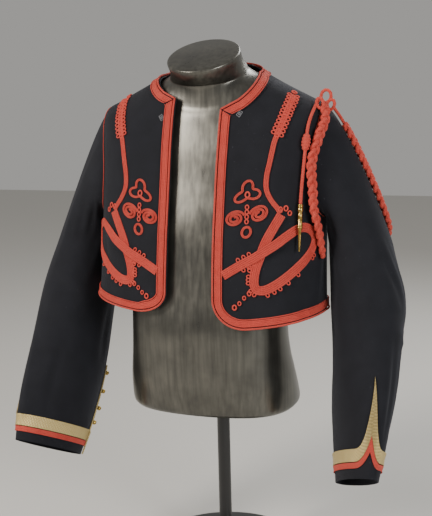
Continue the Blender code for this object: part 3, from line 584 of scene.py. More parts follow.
def wave(tree, value, period):
    """A wave from 0 to 1 whose crests are a period apart."""
    turns = add_node(tree, "ShaderNodeMath", [value, 2 * math.pi / period], operation="MULTIPLY")
    sine = add_node(tree, "ShaderNodeMath", [turns], operation="SINE")
    return add_node(tree, "ShaderNodeMath", [sine, 0.5, 0.5], operation="MULTIPLY_ADD")


def tint(tree, shader, share, first, second):
    """Colours the surface from a first colour to a second, by a pattern."""
    mixed = add_node(tree, "ShaderNodeMix", {SHARE: share, FIRST: first, SECOND: second}, **TWO_COLOURS)
    tree.links.new(mixed, shader.inputs["Base Color"])


def dull(tree, shader, pattern, low, high):
    """Gives the surface a roughness from low to high, by a pattern."""
    rough = add_node(tree, "ShaderNodeMapRange", {"Value": pattern, "To Min": low, "To Max": high})
    tree.links.new(rough, shader.inputs["Roughness"])


def relief(tree, shader, height, distance, strength=1.0):
    """Raises a pattern on the surface by a distance in metres."""
    values = {"Height": height, "Distance": distance, "Strength": strength}
    tree.links.new(add_node(tree, "ShaderNodeBump", values), shader.inputs["Normal"])


def millimetres(tree):
    """The two coordinates of a piece's UV map, in millimetres across and along it."""
    place = add_node(tree, "ShaderNodeUVMap", uv_map="cloth")
    across = add_node(tree, "ShaderNodeSeparateXYZ", [place])
    return across, across.node.outputs[1]


def spots(tree, size, detail=2.0):
    """Noise on the piece's own coordinates, with spots about a size in metres."""
    place = add_node(tree, "ShaderNodeTexCoord", out="Object")
    return add_node(tree, "ShaderNodeTexNoise", {"Vector": place, "Scale": 1 / size, "Detail": detail})


# %% Fulled wool cloth
def wool_finish():
    """Navy wool, woven as a twill and fulled: a nearly black, matt, slightly hairy face with pale lint."""
    material, tree, shader = new_finish(
        "fulled_navy_wool", Roughness=0.92, Sheen_Weight=0.32, Sheen_Roughness=0.45, Specular_IOR_Level=0.25
    )
    shader.inputs["Sheen Tint"].default_value = linear("#8C8E98")
    slant = add_node(tree, "ShaderNodeMath", millimetres(tree), operation="ADD")
    twill = wave(tree, slant, 1.3)
    colours = {SHARE: spots(tree, 0.028, 5.0), FIRST: linear("#0B0C10"), SECOND: linear("#1D1E24")}
    worn = add_node(tree, "ShaderNodeMix", colours, **TWO_COLOURS)
    # Painted shade: the twill's hollows are coloured a little darker than its ridges.
    faint = add_node(tree, "ShaderNodeMath", [twill, 0.35], operation="MULTIPLY")
    colours = {SHARE: faint, FIRST: worn, SECOND: linear("#2A2B31")}
    threads = add_node(tree, "ShaderNodeMix", colours, **TWO_COLOURS)
    rare = {"Value": spots(tree, 0.0030, 4.0), "From Min": 0.70, "From Max": 0.78, "To Max": 0.6}
    lint = add_node(tree, "ShaderNodeMapRange", rare)
    tint(tree, shader, lint, threads, linear("#5A5C66"))
    height = add_node(tree, "ShaderNodeMath", [twill, 0.5, spots(tree, 0.0014)], operation="MULTIPLY_ADD")
    relief(tree, shader, height, 0.00035, 0.6)
    return material


# %% Red braid, piping and cord
def red_finish(name, way, reach, period, painted_shade_gap, dark, light, glow, patch, high, roughness):
    """Coral red wool yarns side by side, in a herringbone on braid, slantwise round a cord, with painted
    shade coloured into the gaps between them.
    """
    material, tree, shader = new_finish(name, Roughness=roughness, Sheen_Weight=0.35, Sheen_Roughness=0.5)
    shader.inputs["Sheen Tint"].default_value = linear(glow)
    across, along = millimetres(tree)
    aside = add_node(tree, "ShaderNodeMath", [across, reach], operation=way)
    yarns = wave(tree, add_node(tree, "ShaderNodeMath", [aside, along], operation="ADD"), period)
    colours = {SHARE: spots(tree, patch), FIRST: linear(dark), SECOND: linear(light)}
    uneven = add_node(tree, "ShaderNodeMix", colours, **TWO_COLOURS)
    # Painted shade: the gaps between yarns get a darker red than the yarns' crests.
    tint(tree, shader, yarns, linear(painted_shade_gap), uneven)
    relief(tree, shader, yarns, high, 0.8)
    return material


# %% Gold lace, gilt and brass
def lace_finish():
    """Lace of flat gilt thread: raised floats in small lozenges, with tarnish between them; painted glints on
    the floats and painted shade between the threads.
    """
    material, tree, shader = new_finish("woven_gilt_lace", Roughness=0.45, Metallic=0.35)
    across, along = millimetres(tree)
    threads = wave(tree, along, 3.0)
    slants = []
    for way in ("ADD", "SUBTRACT"):
        slants.append(wave(tree, add_node(tree, "ShaderNodeMath", [across, along], operation=way), 5.2))
    lozenge = add_node(tree, "ShaderNodeMath", slants, operation="MULTIPLY")
    # Painted glints: pale, nearly white spots mixed into the floats' colour.
    colours = {SHARE: spots(tree, 0.0028, 3.0), FIRST: linear("#D8BC70"), SECOND: linear("#FFF6C4")}
    bright = add_node(tree, "ShaderNodeMix", colours, **TWO_COLOURS)
    # Painted shade: the hollows between threads are coloured darker than the floats.
    colours = {SHARE: threads, FIRST: linear("#B0924C"), SECOND: bright}
    laid = add_node(tree, "ShaderNodeMix", colours, **TWO_COLOURS)
    faint = add_node(tree, "ShaderNodeMath", [lozenge, 0.85], operation="MULTIPLY")
    tint(tree, shader, faint, laid, linear("#7C6230"))
    height = add_node(tree, "ShaderNodeMath", [threads, lozenge], operation="SUBTRACT")
    relief(tree, shader, height, 0.0005, 0.9)
    return material


def metal_finish(name, light, dark, roughness):
    """A plain metal with handling marks: duller and darker where hands haven't rubbed it."""
    material, tree, shader = new_finish(name, Metallic=1.0)
    worn = spots(tree, 0.004, 3.0)
    tint(tree, shader, worn, linear(dark), linear(light))
    dull(tree, shader, worn, roughness + 0.12, roughness - 0.06)
    relief(tree, shader, worn, 0.0001, 0.4)
    return material


# %% Form, stand and badge thread
def form_finish():
    """Dark metallic paint, rubbed up and down: soft streaks and worn patches whose lighter colour is partly
    rubbing and partly painted highlights, as lines of light.
    """
    material, tree, shader = new_finish(
        "rubbed_metallic_paint_with_painted_highlights", Metallic=0.85, Coat_Weight=0.1, Coat_Roughness=0.3
    )
    place = add_node(tree, "ShaderNodeTexCoord", out="Object")
    drawn_out = add_node(tree, "ShaderNodeVectorMath", [place, (150.0, 150.0, 9.0)], operation="MULTIPLY")
    streaks = add_node(tree, "ShaderNodeTexNoise", {"Vector": drawn_out, "Scale": 1.0, "Detail": 4.0})
    blotched = add_node(tree, "ShaderNodeMath", [streaks, spots(tree, 0.045, 4.0)], operation="MULTIPLY")
    worn = add_node(tree, "ShaderNodeMapRange", {"Value": blotched, "From Min": 0.08, "From Max": 0.46})
    # Painted highlights as well as rubbing: the vertical streaks and patches are coloured lighter.
    tint(tree, shader, worn, linear("#504F4B"), linear("#76746C"))
    dull(tree, shader, worn, 0.26, 0.40)
    relief(tree, shader, blotched, 0.0004, 0.3)
    return material


def enamel_finish():
    """Black enamel on steel: smooth and fairly glossy, with a little dust that dulls it in patches."""
    material, tree, shader = new_finish("black_enamelled_steel", Coat_Weight=0.3, Coat_Roughness=0.15)
    dust = spots(tree, 0.020, 4.0)
    tint(tree, shader, dust, linear("#0B0B0C"), linear("#1C1C1D"))
    dull(tree, shader, dust, 0.22, 0.45)
    relief(tree, shader, spots(tree, 0.003), 0.00005, 0.3)
    return material


def silver_thread_finish():
    """Silver-grey embroidery thread, dull and slightly metallic, laid in satin stitch."""
    material, tree, shader = new_finish("silver_grey_thread", Roughness=0.6, Metallic=0.25)
    threads = wave(tree, millimetres(tree)[1], 0.9)
    # Painted shade: the hollows between the threads are coloured darker than their crests.
    tint(tree, shader, threads, linear("#55565A"), linear("#8E8F94"))
    relief(tree, shader, threads, 0.0002, 0.7)
    return material


WOOL = wool_finish()
# The first colour of the braid and of the cord is the painted shade in the gaps between yarns.
BRAID = red_finish(
    "plaited_red_wool_braid",
    *("PINGPONG", 1.6, 1.5),
    *("#8E2019", "#DA4032", "#FA6452", "#FF9A88"),
    *(0.012, 0.0004, 0.8),
)
CORD = red_finish(
    "twisted_red_wool_cord",
    *("MULTIPLY", 1.2, 1.7),
    *("#9E251C", "#E64434", "#FF6854", "#FFA090"),
    *(0.010, 0.00045, 0.75),
)
LACE = lace_finish()
GILT = metal_finish("gilt_brass", "#D9B968", "#8A6C2E", 0.28)
BRASS = metal_finish("polished_brass", "#C9A860", "#7A5E2C", 0.26)
FORM_PAINT = form_finish()
ENAMEL = enamel_finish()
SILVER = silver_thread_finish()
print("finishes:", len(bpy.data.materials))

# %% [markdown]
# ## How a piece is made
# Nearly every soft piece here is a closed body through a row of sections: a ring of points that moves
# along a path. It is made in mesh code rather than with a curve's bevel, because the sections must follow
# the cloth. The same function gives the piece its millimetre map, so threads keep their size round every
# bend.

# %% The maker of pieces
def millimetre_steps(points, closed):
    """How far each point is from the first, in millimetres, along a line of points."""
    after = points[1:] + points[:1] if closed else points[1:]
    return running(1000 * (b - a).length for a, b in zip(points, after))


def as_piece(name, mesh, material):
    """An object in the scene from a mesh that is being edited."""
    data = bpy.data.meshes.new(name)
    mesh.to_mesh(data)
    mesh.free()
    data.materials.append(material)
    piece = bpy.data.objects.new(name, data)
    bpy.context.scene.collection.objects.link(piece)
    return piece


def loft(name, bodies, material, ring=False, mirror=False, crease=50):
    """One object of closed bodies, each a row of sections with the same number of points."""
    mesh = bmesh.new()
    cloth_map = mesh.loops.layers.uv.new("cloth")
    flip = -1 if mirror else 1
    for sections in bodies:
        rows = [[mesh.verts.new((p.x * flip, p.y, p.z)) for p in section] for section in sections]
        across = [millimetre_steps(section, True) for section in sections]
        along = millimetre_steps([section[0] for section in sections], ring)
        count = len(rows[0])
        for i in range(len(rows) if ring else len(rows) - 1):
            k = (i + 1) % len(rows)
            for j in range(count):
                m = (j + 1) % count
                face = mesh.faces.new((rows[i][j], rows[i][m], rows[k][m], rows[k][j]))
                places = (
                    (across[i][j], along[i]),
                    (across[i][j + 1], along[i]),
                    (across[k][j + 1], along[i + 1]),
                    (across[k][j], along[i + 1]),
                )
                for corner, place in zip(face.loops, places):
                    corner[cloth_map].uv = place
        if not ring:
            mesh.faces.new(rows[0])
            mesh.faces.new(rows[-1])
    bmesh.ops.recalc_face_normals(mesh, faces=mesh.faces)
    piece = as_piece(name, mesh, material)
    piece.data.shade_smooth()
    piece.data.set_sharp_from_angle(angle=math.radians(crease))
    return piece


def belongs(piece, slot, *nodes):
    """Puts a finished piece on the stand's body, in place of its solids."""
    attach(piece, "root")
    if nodes:
        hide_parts(*nodes)
    print(piece.name, len(piece.data.polygons), "faces")
    return piece


# %% [markdown]
# ## Fronts, back and sleeves
# Each panel is a sheet of 2 mm cloth: an outer face on the creased surface, an inner face behind it, and
# a rim. A finer mesh than the solids' carries the folds. A modifier such as Solidify would also give the
# thickness, but here both faces come from the same surface, so neighbours keep their seams.

# %% Cloth panels
PANEL_ROWS = 64
FRONT_COLUMNS = 34
BACK_COLUMNS = 68


def fine_rows():
    """Levels from the neckline to the hem: even, with some just above and below the armhole's ends."""
    rows = [HEM * i / PANEL_ROWS for i in range(PANEL_ROWS)]
    rows += [HEM - CORNER_RADIUS + CORNER_RADIUS * math.sin(math.radians(t)) for t in range(6, 91, 7)]
    rows += [SHOULDER_TIP, ARMPIT, HEM]
    for i in range(1, 12):
        share = (1 - math.cos(math.pi * i / 12)) / 2
        rows.append(SHOULDER_TIP + (ARMPIT - SHOULDER_TIP) * share)
    return sorted({round(row, 5) for row in rows})


def panel_section(places):
    """The outer face's points along a row of places, and the inner face's back again."""
    return [body(*place) for place in places] + [body(*place, -CLOTH) for place in reversed(places)]


def front_cloth(name, side):
    sections = []
    for down in fine_rows():
        start, _ = edge_place(down, side)
        angles = evenly(start, side * (SIDE - armhole_angle(down)), FRONT_COLUMNS)
        sections.append(panel_section([fallen(angle, down) for angle in angles]))
    return belongs(loft(name + "_cloth", [sections], WOOL), "wool", name)


def back_cloth():
    sections = []
    for down in fine_rows():
        start = SIDE + armhole_angle(down)
        angles = evenly(start, 2 * BACK - start, BACK_COLUMNS)
        sections.append(panel_section([(angle, down) for angle in angles]))
    return belongs(loft("back_cloth", [sections], WOOL), "wool", "back")


fronts = {"left": front_cloth("front_left", 1), "right": front_cloth("front_right", -1)}
back = back_cloth()

# %% Sleeves
SLEEVE_TURNS = 84
HEAD_LEVELS = 26
FREE_LEVELS = 44


def sleeve_cloth(side):
    """A tube of cloth from the armhole to the open cuff. The right one is a left one, mirrored."""
    levels = [HEAD_SHARE * (i / HEAD_LEVELS) ** 1.2 for i in range(HEAD_LEVELS)]
    levels += evenly(HEAD_SHARE, 1.0, FREE_LEVELS)
    sections = []
    for turn in turns_of(SLEEVE_TURNS):
        outer = [sleeve(side, turn, along) for along in levels]
        sections.append(outer + [sleeve(side, turn, along, -CLOTH) for along in reversed(levels)])
    piece = loft(f"sleeve_{side}_cloth", [sections], WOOL, ring=True, mirror=side == "right")
    return belongs(piece, "wool", f"sleeve_{side}")


sleeves = {side: sleeve_cloth(side) for side in ("left", "right")}

# %% [markdown]
# ## Edge braid and piping
# The fronts, the neck and the hem are bound with a round piping at the very edge and a flat plaited braid
# inside it, with a thin line of dark cloth between them. Both follow the edge and meet in a mitre at the
# neck corners.

# %% Profiles of braid
Point = namedtuple("Point", "across high")


def ribbed(start, width, ribs, low, high, steps=4):
    """A flat braid's section: rounded ribs above, closed by a flat underside."""
    points = []
    for i in range(ribs * steps + 1):
        points.append(
            Point(
                start + width * i / (ribs * steps),
                low + (high - low) * abs(math.sin(math.pi * i / steps)) ** 0.6,
            )
        )
    return points + [Point(start + width, 0.0), Point(start, 0.0)]


def round_section(middle, radius, sides=10):
    """A round cord's section that rests on the cloth."""
    turns = turns_of(sides)
    return [Point(middle - radius * math.cos(t), radius * (1 + math.sin(t))) for t in turns]


EDGE_PROFILES = [
    round_section(0.0020, 0.0017), ribbed(0.0050, 0.0112, 4, 0.0011, 0.0019), round_section(0.0179, 0.0010, 8)
]


def section_at(place, way, profile, lift):
    """A braid's section on the cloth at (angle, down), spread along a way."""
    return [body(*shifted(*place, way * point.across), lift + point.high) for point in profile]


def edge_sections(places, profile, mitres, side, lift):
    sections = []
    for i, place in enumerate(places):
        along, left = frame_on(places, i)
        skew = mitres[0] if i == 0 else -mitres[1] if i == len(places) - 1 else 0.0
        sections.append(section_at(place, left * side + along * skew, profile, lift))
    return sections


def edge_braid(name, places, mitres=(0.0, 0.0), side=1, lift=BRAID_LIFT):
    bodies = [edge_sections(places, profile, mitres, side, lift) for profile in EDGE_PROFILES]
    return belongs(loft(name + "_piped", bodies, BRAID, crease=70), "braid", name)


# %% Edges of the jacket
# Rows of points along the edge braid
MITRE_ANGLE = 0.004
MITRE_DOWN = 0.0006
NECK_INSET = math.radians(16)
EDGE_START = 0.022
NECK_STEPS = 84
EDGE_STEPS = 62
CORNER_STEPS = 14
HEM_STEPS = 34
BACK_HEM_STEPS = 84


def corner_skew(side, step_down=0.01, step_aside=0.08):
    """How far the mitre at the neck corner leans for each step across the braid."""
    corner = edge_place(0.0, side)
    below = edge_place(step_down, side)
    beside = fallen(corner[0] + side * step_aside, 0.0)
    down_way = (body_skin(*below) - body_skin(*corner)).normalized()
    neck_way = (body_skin(*beside) - body_skin(*corner)).normalized()
    return 1 / math.tan(down_way.angle(neck_way) / 2)


def neck_places():
    """Places round the neckline, from the left front's corner over the back to the right's."""
    start = edge_place(0.0, 1)[0] + MITRE_ANGLE
    end = 2 * BACK + edge_place(0.0, -1)[0] - MITRE_ANGLE
    angles = [start] + evenly(start + NECK_INSET, end - NECK_INSET, NECK_STEPS) + [end]
    return [fallen(angle, 0.0) for angle in angles]


def front_edge_places(side):
    """Places down a front's edge from the neck corner, round the lower corner to the side."""
    corner_top = HEM - CORNER_RADIUS
    levels = [MITRE_DOWN] + evenly(EDGE_START, corner_top, EDGE_STEPS)
    for i in range(1, CORNER_STEPS):
        levels.append(corner_top + CORNER_RADIUS * math.sin(math.pi / 2 * i / CORNER_STEPS))
    places = [edge_place(down, side) for down in levels]
    turns = evenly(abs(edge_place(HEM, side)[0]), SIDE - SEAM_ANGLE, HEM_STEPS)
    return places + [(side * turn, HEM) for turn in turns]


def back_hem_places():
    start = SIDE + SEAM_ANGLE
    return [(angle, HEM) for angle in evenly(start, 2 * BACK - start, BACK_HEM_STEPS)]


edge_braid("braid_neck", neck_places(), (corner_skew(1), corner_skew(-1)), -1, NECK_LIFT)
edge_braid("braid_edge_left", front_edge_places(1), (corner_skew(1), 0.0), 1)
edge_braid("braid_edge_right", front_edge_places(-1), (corner_skew(-1), 0.0), -1)
edge_braid("braid_hem_back", back_hem_places(), lift=NECK_LIFT)

# %% [markdown]
# ## Ornament on the fronts
# A broad braid runs down from below the shoulder, turns near the hem, loops back at the side and crosses
# itself. It is plaited from several cords side by side, so its section has ribs. A narrow braid climbs to
# a pad of small loops on the shoulder. Between the broad braid and the edge lies a scroll of doubled
# narrow braid, called soutache: three leaves above, two volutes and a drop below.

# %% Routes of the ornament
# In metres across from the middle and down from the neckline.
# Where the wide braid crosses itself, the upper run is lifted over the lower one.
Way = namedtuple("Way", "across down lift")
LOOP_BRAID = row_list(
    Way,
    (0.158, 0.301, 0), (0.143, 0.325, 0), (0.131, 0.347, 0), (0.123, 0.37, 0), (0.115, 0.395, 0),
    (0.113, 0.418, 0), (0.118, 0.43, 0), (0.13, 0.433, 0), (0.147, 0.428, 0), (0.168, 0.418, 0),
    (0.189, 0.407, 0), (0.207, 0.396, 0), (0.221, 0.384, 0), (0.227, 0.369, 0), (0.219, 0.353, 0),
    (0.204, 0.342, 0), (0.187, 0.34, 0), (0.168, 0.345, 0.3), (0.151, 0.353, 1), (0.131, 0.362, 1),
    (0.112, 0.371, 1), (0.094, 0.379, 0.3), (0.077, 0.388, 0), (0.06, 0.3982, 0),
)
CROSSING_LIFT = 0.0026
SHOULDER_BRAID = row_list(
    Way,
    (0.149, 0.1475, 0), (0.145, 0.154, 0), (0.141, 0.168, 0), (0.136, 0.19, 0), (0.131, 0.215, 0),
    (0.131, 0.24, 0), (0.139, 0.264, 0), (0.151, 0.286, 0), (0.1565, 0.2975, 0),
)
SHOULDER_PAD = row_list(
    Way,
    (0.196, 0.096, 0), (0.178, 0.11, 0), (0.163, 0.127, 0), (0.149, 0.147, 0),
)


# %% The scroll motif: three leaves, two volutes and a drop
MOTIF_ACROSS = 0.0985
MOTIF_DOWN = 0.236
TREFOIL_RADIUS = 0.0175
TREFOIL_WAVE = 0.38
TREFOIL_POINTS = 72
VOLUTE_ASIDE = 0.0205
VOLUTE_DOWN = 0.286
VOLUTE_OUTER = 0.0165
VOLUTE_INNER = 0.0032
VOLUTE_START = math.radians(-75)
VOLUTE_TURN = math.radians(820)
VOLUTE_POINTS = 110
DROP_DOWN = 0.318
DROP_HALF_WIDTH = 0.0075
DROP_HALF_HEIGHT = 0.0105
DROP_POINTS = 30


def placed(across, down, side):
    return side * angle_at(across, down), down, 0.0


def trefoil_places(side):
    """A ring of three leaves, the upper piece of the scroll motif."""
    places = []
    for turn in turns_of(TREFOIL_POINTS):
        reach = TREFOIL_RADIUS * (1 + TREFOIL_WAVE * math.cos(3 * turn))
        across = MOTIF_ACROSS + reach * math.sin(turn)
        places.append(placed(across, MOTIF_DOWN - reach * math.cos(turn), side))
    return places


def volute_places(side, way):
    """A spiral of the scroll motif; way 1 lies away from the middle and -1 towards it."""
    places = []
    for i in range(VOLUTE_POINTS + 1):
        share = i / VOLUTE_POINTS
        turn = VOLUTE_START + VOLUTE_TURN * share
        reach = VOLUTE_OUTER + (VOLUTE_INNER - VOLUTE_OUTER) * share
        across = MOTIF_ACROSS + way * (VOLUTE_ASIDE + reach * math.sin(turn))
        places.append(placed(across, VOLUTE_DOWN - reach * math.cos(turn), side))
    return places


def drop_places(side):
    """The small ring below the volutes."""
    places = []
    for turn in turns_of(DROP_POINTS):
        across = MOTIF_ACROSS + DROP_HALF_WIDTH * math.sin(turn)
        places.append(placed(across, DROP_DOWN - DROP_HALF_HEIGHT * math.cos(turn), side))
    return places


# %% Bands on the fronts
WIDE_BRAID = 0.0155
NARROW_BRAID = 0.0085
PAD_BRAID = 0.0150
SOUTACHE = 0.0042
PIPING_WIDTH = 0.0026
PIPING_INSET = 0.0013
BAND_STEP = 0.005
BAND_PROFILES = {
    "wide": ribbed(-WIDE_BRAID / 2, WIDE_BRAID, 5, 0.0009, 0.0021),
    "narrow": ribbed(-NARROW_BRAID / 2, NARROW_BRAID, 3, 0.0009, 0.0020),
    "pad": ribbed(-PAD_BRAID / 2 + 0.002, PAD_BRAID - 0.004, 3, 0.0008, 0.0016),
    "soutache": ribbed(-SOUTACHE / 2, SOUTACHE, 2, 0.0008, 0.0021),
}


def laid_band(name, places, profile, material=BRAID, slot="braid", ring=False, node=None):
    """A braid laid on the cloth along places, each with its own lift."""
    line = [(angle, down) for angle, down, _ in places]
    sections = []
    for i, (angle, down, lift) in enumerate(places):
        if ring:
            _, left = frame_on([line[i - 1], line[i], line[(i + 1) % len(line)]], 1)
        else:
            _, left = frame_on(line, i)
        sections.append(section_at((angle, down), left, profile, BRAID_LIFT + lift))
    return belongs(loft(name, [sections], material, ring=ring, crease=70), slot, *([node] if node else []))


ARMHOLE_CORD = 0.0008


def piping_places(side, steps=72):
    """Places on the panels just inside the armhole."""
    places = []
    for turn in turns_of(steps):
        angle, down = armhole(turn)
        around, downward = slopes_of(smooth_body, angle, down)
        away = downward.normalized() * math.cos(turn) + around.normalized() * math.sin(turn)
        angle, down = shifted(angle, down, away.normalized() * -(PIPING_WIDTH / 2 + PIPING_INSET))
        places.append((side * angle, down, 0.0))
    return places


for name, side in (("left", 1), ("right", -1)):
    bands = (
        ("loop_braid", smooth_places(LOOP_BRAID, BAND_STEP, side), "wide", False),
        ("shoulder_braid", smooth_places(SHOULDER_BRAID, BAND_STEP, side), "narrow", False),
        ("shoulder_pad", smooth_places(SHOULDER_PAD, BAND_STEP, side), "pad", False),
        ("scroll_leaves", trefoil_places(side), "soutache", True),
        ("scroll_outer", volute_places(side, 1), "soutache", False),
        ("scroll_inner", volute_places(side, -1), "soutache", False),
        ("scroll_drop", drop_places(side), "soutache", True),
    )
    for piece_name, places, profile, ring in bands:
        laid_band(
            f"{piece_name}_{name}_laid",
            places,
            BAND_PROFILES[profile],
            ring=ring,
            node=f"{piece_name}_{name}",
        )
    piping = round_section(0.0, ARMHOLE_CORD, 8)
    laid_band(
        f"armhole_piping_{name}_cord", piping_places(side), piping, ring=True, node=f"armhole_piping_{name}"
    )

# %% [markdown]
# ## Cuffs
# A band of gilt lace runs round each cuff and rises to a point, with a red braid below it that follows
# its lower edge. The lace is drawn a little thicker at its two selvedges. Each cuff has a slit that is
# edged with gold cord and closed by ball buttons; it stays closed.

# %% Levels of the cuff trims
# Levels above the cuff's edge, on the way to the galon's point at the front fold
CUFF_BRAID_LOW = 0.0215
CUFF_BRAID_HIGH = 0.034
GALON_LOW = 0.036
GALON_HIGH = 0.063
GALON_POINT_LOW = 0.090
GALON_POINT = 0.178
CUFF_BRAID_POINT = 0.058
POINT_TURN_LEFT = math.radians(105)
POINT_TURN_RIGHT = math.radians(50)
POINT_HALF = math.radians(34)
POINT_FOOT = 0.25
TIP_POWER = 3.4
NOTCH_POWER = 2.6
TRIM_THICK = 0.0012
FREE_LENGTH = 0.395


def along_at(up):
    """The place along a sleeve at a height above the cuff's edge."""
    return 1 - up / FREE_LENGTH * (1 - HEAD_SHARE)


def point_share(turn, tip):
    """0 away from the galon's point and 1 at its tip."""
    away = abs(math.atan2(math.sin(turn - tip), math.cos(turn - tip)))
    return max(1 - away / POINT_HALF, 0.0)


def galon_high(share):
    """The galon's upper edge, with a broad foot under its narrow point."""
    rise = POINT_FOOT * share**2 + (1 - POINT_FOOT) * share**TIP_POWER
    return GALON_HIGH + (GALON_POINT - GALON_HIGH) * rise


def galon_low(share):
    return GALON_LOW + (GALON_POINT_LOW - GALON_LOW) * share**NOTCH_POWER


def cuff_braid_high(share):
    return galon_low(share) - (GALON_LOW - CUFF_BRAID_HIGH)


def cuff_braid_low(share):
    return CUFF_BRAID_LOW + (CUFF_BRAID_POINT - CUFF_BRAID_LOW) * share**NOTCH_POWER


# %% Lace and braid round the cuffs
CUFF_TURNS = 120
TOO_NEAR = math.radians(0.6)
CLOSE_SHARES = [i / 14 for i in range(1, 14)]
LACE_LEVELS = 8
SELVEDGE = 0.0005


def cuff_turns(tip):
    """The turns of a cuff trim's sections: evenly round, and closer about the point."""
    turns = turns_of(CUFF_TURNS)
    closer = [tip] + [tip + way * POINT_HALF * share**1.6 for share in CLOSE_SHARES for way in (-1, 1)]
    turns = [t for t in turns if all(abs(t - c) > TOO_NEAR for c in closer)]
    return sorted(turns + closer)


def cuff_trim(node, side, low, high, tip, material, slot):
    sections = []
    for turn in cuff_turns(tip):
        share = point_share(turn, tip)
        top, bottom = along_at(high(share)), along_at(low(share))
        levels = evenly(top, bottom, LACE_LEVELS)
        outer = []
        for i, along in enumerate(levels):
            edge = SELVEDGE if i in (0, 1, LACE_LEVELS - 1, LACE_LEVELS) else 0.0
            outer.append(sleeve(side, turn, along, BRAID_LIFT + TRIM_THICK + edge))
        sections.append(outer + [sleeve(side, turn, along, BRAID_LIFT) for along in reversed(levels)])
    piece = loft(node + "_woven", [sections], material, ring=True, mirror=side == "right")
    return belongs(piece, slot, node)


TIPS = {"left": POINT_TURN_LEFT, "right": POINT_TURN_RIGHT}
for side, tip in TIPS.items():
    cuff_trim(f"galon_{side}", side, galon_low, galon_high, tip, LACE, "galon")
    cuff_trim(f"cuff_braid_{side}", side, cuff_braid_low, cuff_braid_high, tip, BRAID, "braid")


# %% Cuff slits and ball buttons
# The back slit of each cuff: its gold edging and ball buttons
SLIT_FROM_POINT = math.radians(-165)
SLIT_LOW = 0.001
SLIT_HIGH = 0.185
SLIT_LIFT = 0.0023
SLIT_REST = 0.0002
SLIT_BUTTONS = [0.084, 0.114, 0.144, 0.174]
BUTTON_RADIUS = 0.0042
BUTTON_ASIDE = 0.009
BUTTON_SEAT = 0.0004
BUTTON_BELT = 0.07
SLIT_STEPS = 64
SLIT_CORD = 0.0015
TRIMS_HIGH = 0.064
TRIMS_END = 0.006


def slit_lift(up):
    """The cord lies on the cloth and rises over the lace and the braid where it crosses them."""
    share = min(max((TRIMS_HIGH - up) / TRIMS_END, 0.0), 1.0)
    return SLIT_REST + (SLIT_LIFT - SLIT_REST) * share * share * (3 - 2 * share)


def slit_cord(side):
    turn = TIPS[side] + SLIT_FROM_POINT
    sections = []
    for up in evenly(SLIT_LOW, SLIT_HIGH, SLIT_STEPS):
        around, _ = slopes_of(sleeve_skins[side], turn, along_at(up))
        section = []
        for point in round_section(0.0, SLIT_CORD):
            high = slit_lift(up) + point.high
            section.append(sleeve(side, turn + point.across / around.length, along_at(up), high))
        sections.append(section)
    piece = loft(f"slit_edging_{side}_cord", [sections], LACE, mirror=side == "right")
    return belongs(piece, "galon", f"slit_edging_{side}")


def ball_button(side, number, up):
    """A gilt ball with a low foot ring, as a button for a loop."""
    turn, along = TIPS[side] + SLIT_FROM_POINT, along_at(up)
    around, _ = slopes_of(sleeve_skins[side], turn, along)
    out = BUTTON_RADIUS - BUTTON_SEAT + slit_lift(up)
    place = sleeve(side, turn + BUTTON_ASIDE / around.length, along, out)
    place.x *= -1 if side == "right" else 1
    mesh = bmesh.new()
    bmesh.ops.create_uvsphere(mesh, u_segments=24, v_segments=16, radius=BUTTON_RADIUS)
    for vertex in mesh.verts:
        belt = math.exp(-((vertex.co.z / BUTTON_RADIUS) ** 2) / 0.02)
        vertex.co.xy *= 1 + BUTTON_BELT * belt
        vertex.co += place
    piece = as_piece(f"ball_button_{side}_{number}", mesh, GILT)
    piece.data.shade_smooth()
    return belongs(piece, "button", f"button_{side}_{number}")


for side in TIPS:
    slit_cord(side)
    for number, up in enumerate(SLIT_BUTTONS, 1):
        ball_button(side, number, up)

# %% [markdown]
# ## Shoulder cord
# The cord set starts in a knot of three loops on the left shoulder. One plait falls in front of the
# armhole and one behind the sleeve; both tuck in under the arm. A thinner cord hangs in front, through a
# slide knot, and ends in a turned brass ferrule. A cord's plies are drawn as lobes that turn along it,
# and a plait as three strands that cross.

# %% Twisted cord
CORD_RADIUS = 0.0030
CORD_PITCH = 0.010
LOBE_DEEP = 0.22


def smooth_route(points, spacing):
    """Evenly spaced points on a smooth line through the points of a route."""
    gone = running(math.dist(a, b) for a, b in zip(points, points[1:]))
    curves = [Curve(gone, column) for column in zip(*points)]
    steps = max(round(gone[-1] / spacing), 2)
    return [[curve(at) for curve in curves] for at in evenly(0.0, gone[-1], steps)]


def spaced(points, step):
    """Points at an even step along a smooth line through the points of a route."""
    return [Vector(point) for point in smooth_route([tuple(point) for point in points], step)]


def cord_sections(points, radius, sides=14, plies=2, pitch=0.011, across=None):
    """Sections of a twisted cord. A closed loop gives the direction across its own plane."""
    sections, gone, normal = [], 0.0, Vector((0.3, 0.2, 1.0))
    count = len(points)
    for i, point in enumerate(points):
        if across is None:
            way = (points[min(i + 1, count - 1)] - points[max(i - 1, 0)]).normalized()
        else:
            way = (points[(i + 1) % count] - points[i - 1]).normalized()
            normal = across
        normal = (normal - way * normal.dot(way)).normalized()
        side_way = way.cross(normal)
        if i:
            gone += (point - points[i - 1]).length
        section = []
        for turn in turns_of(sides):
            lobe = abs(math.cos(plies / 2 * (turn - 2 * math.pi * gone / pitch)))
            reach = radius * (1 - LOBE_DEEP + LOBE_DEEP * lobe)
            section.append(point + normal * reach * math.cos(turn) + side_way * reach * math.sin(turn))
        sections.append(section)
    return sections


# %% Knot loops on the shoulder
KnotLoop = namedtuple("KnotLoop", "name x y z half_width half_height tilt")
KNOT_CORD = 0.0029
KNOT_LOOPS = [
    KnotLoop("knot_loop_top", 0.2060, -0.0200, 0.8640, 0.0086, 0.0105, 8),
    KnotLoop("knot_loop_front", 0.2010, -0.0420, 0.8530, 0.0056, 0.0085, -12),
    KnotLoop("knot_loop_back", 0.2150, -0.0240, 0.8500, 0.0062, 0.0085, 18),
]
KNOT_POINTS = 44


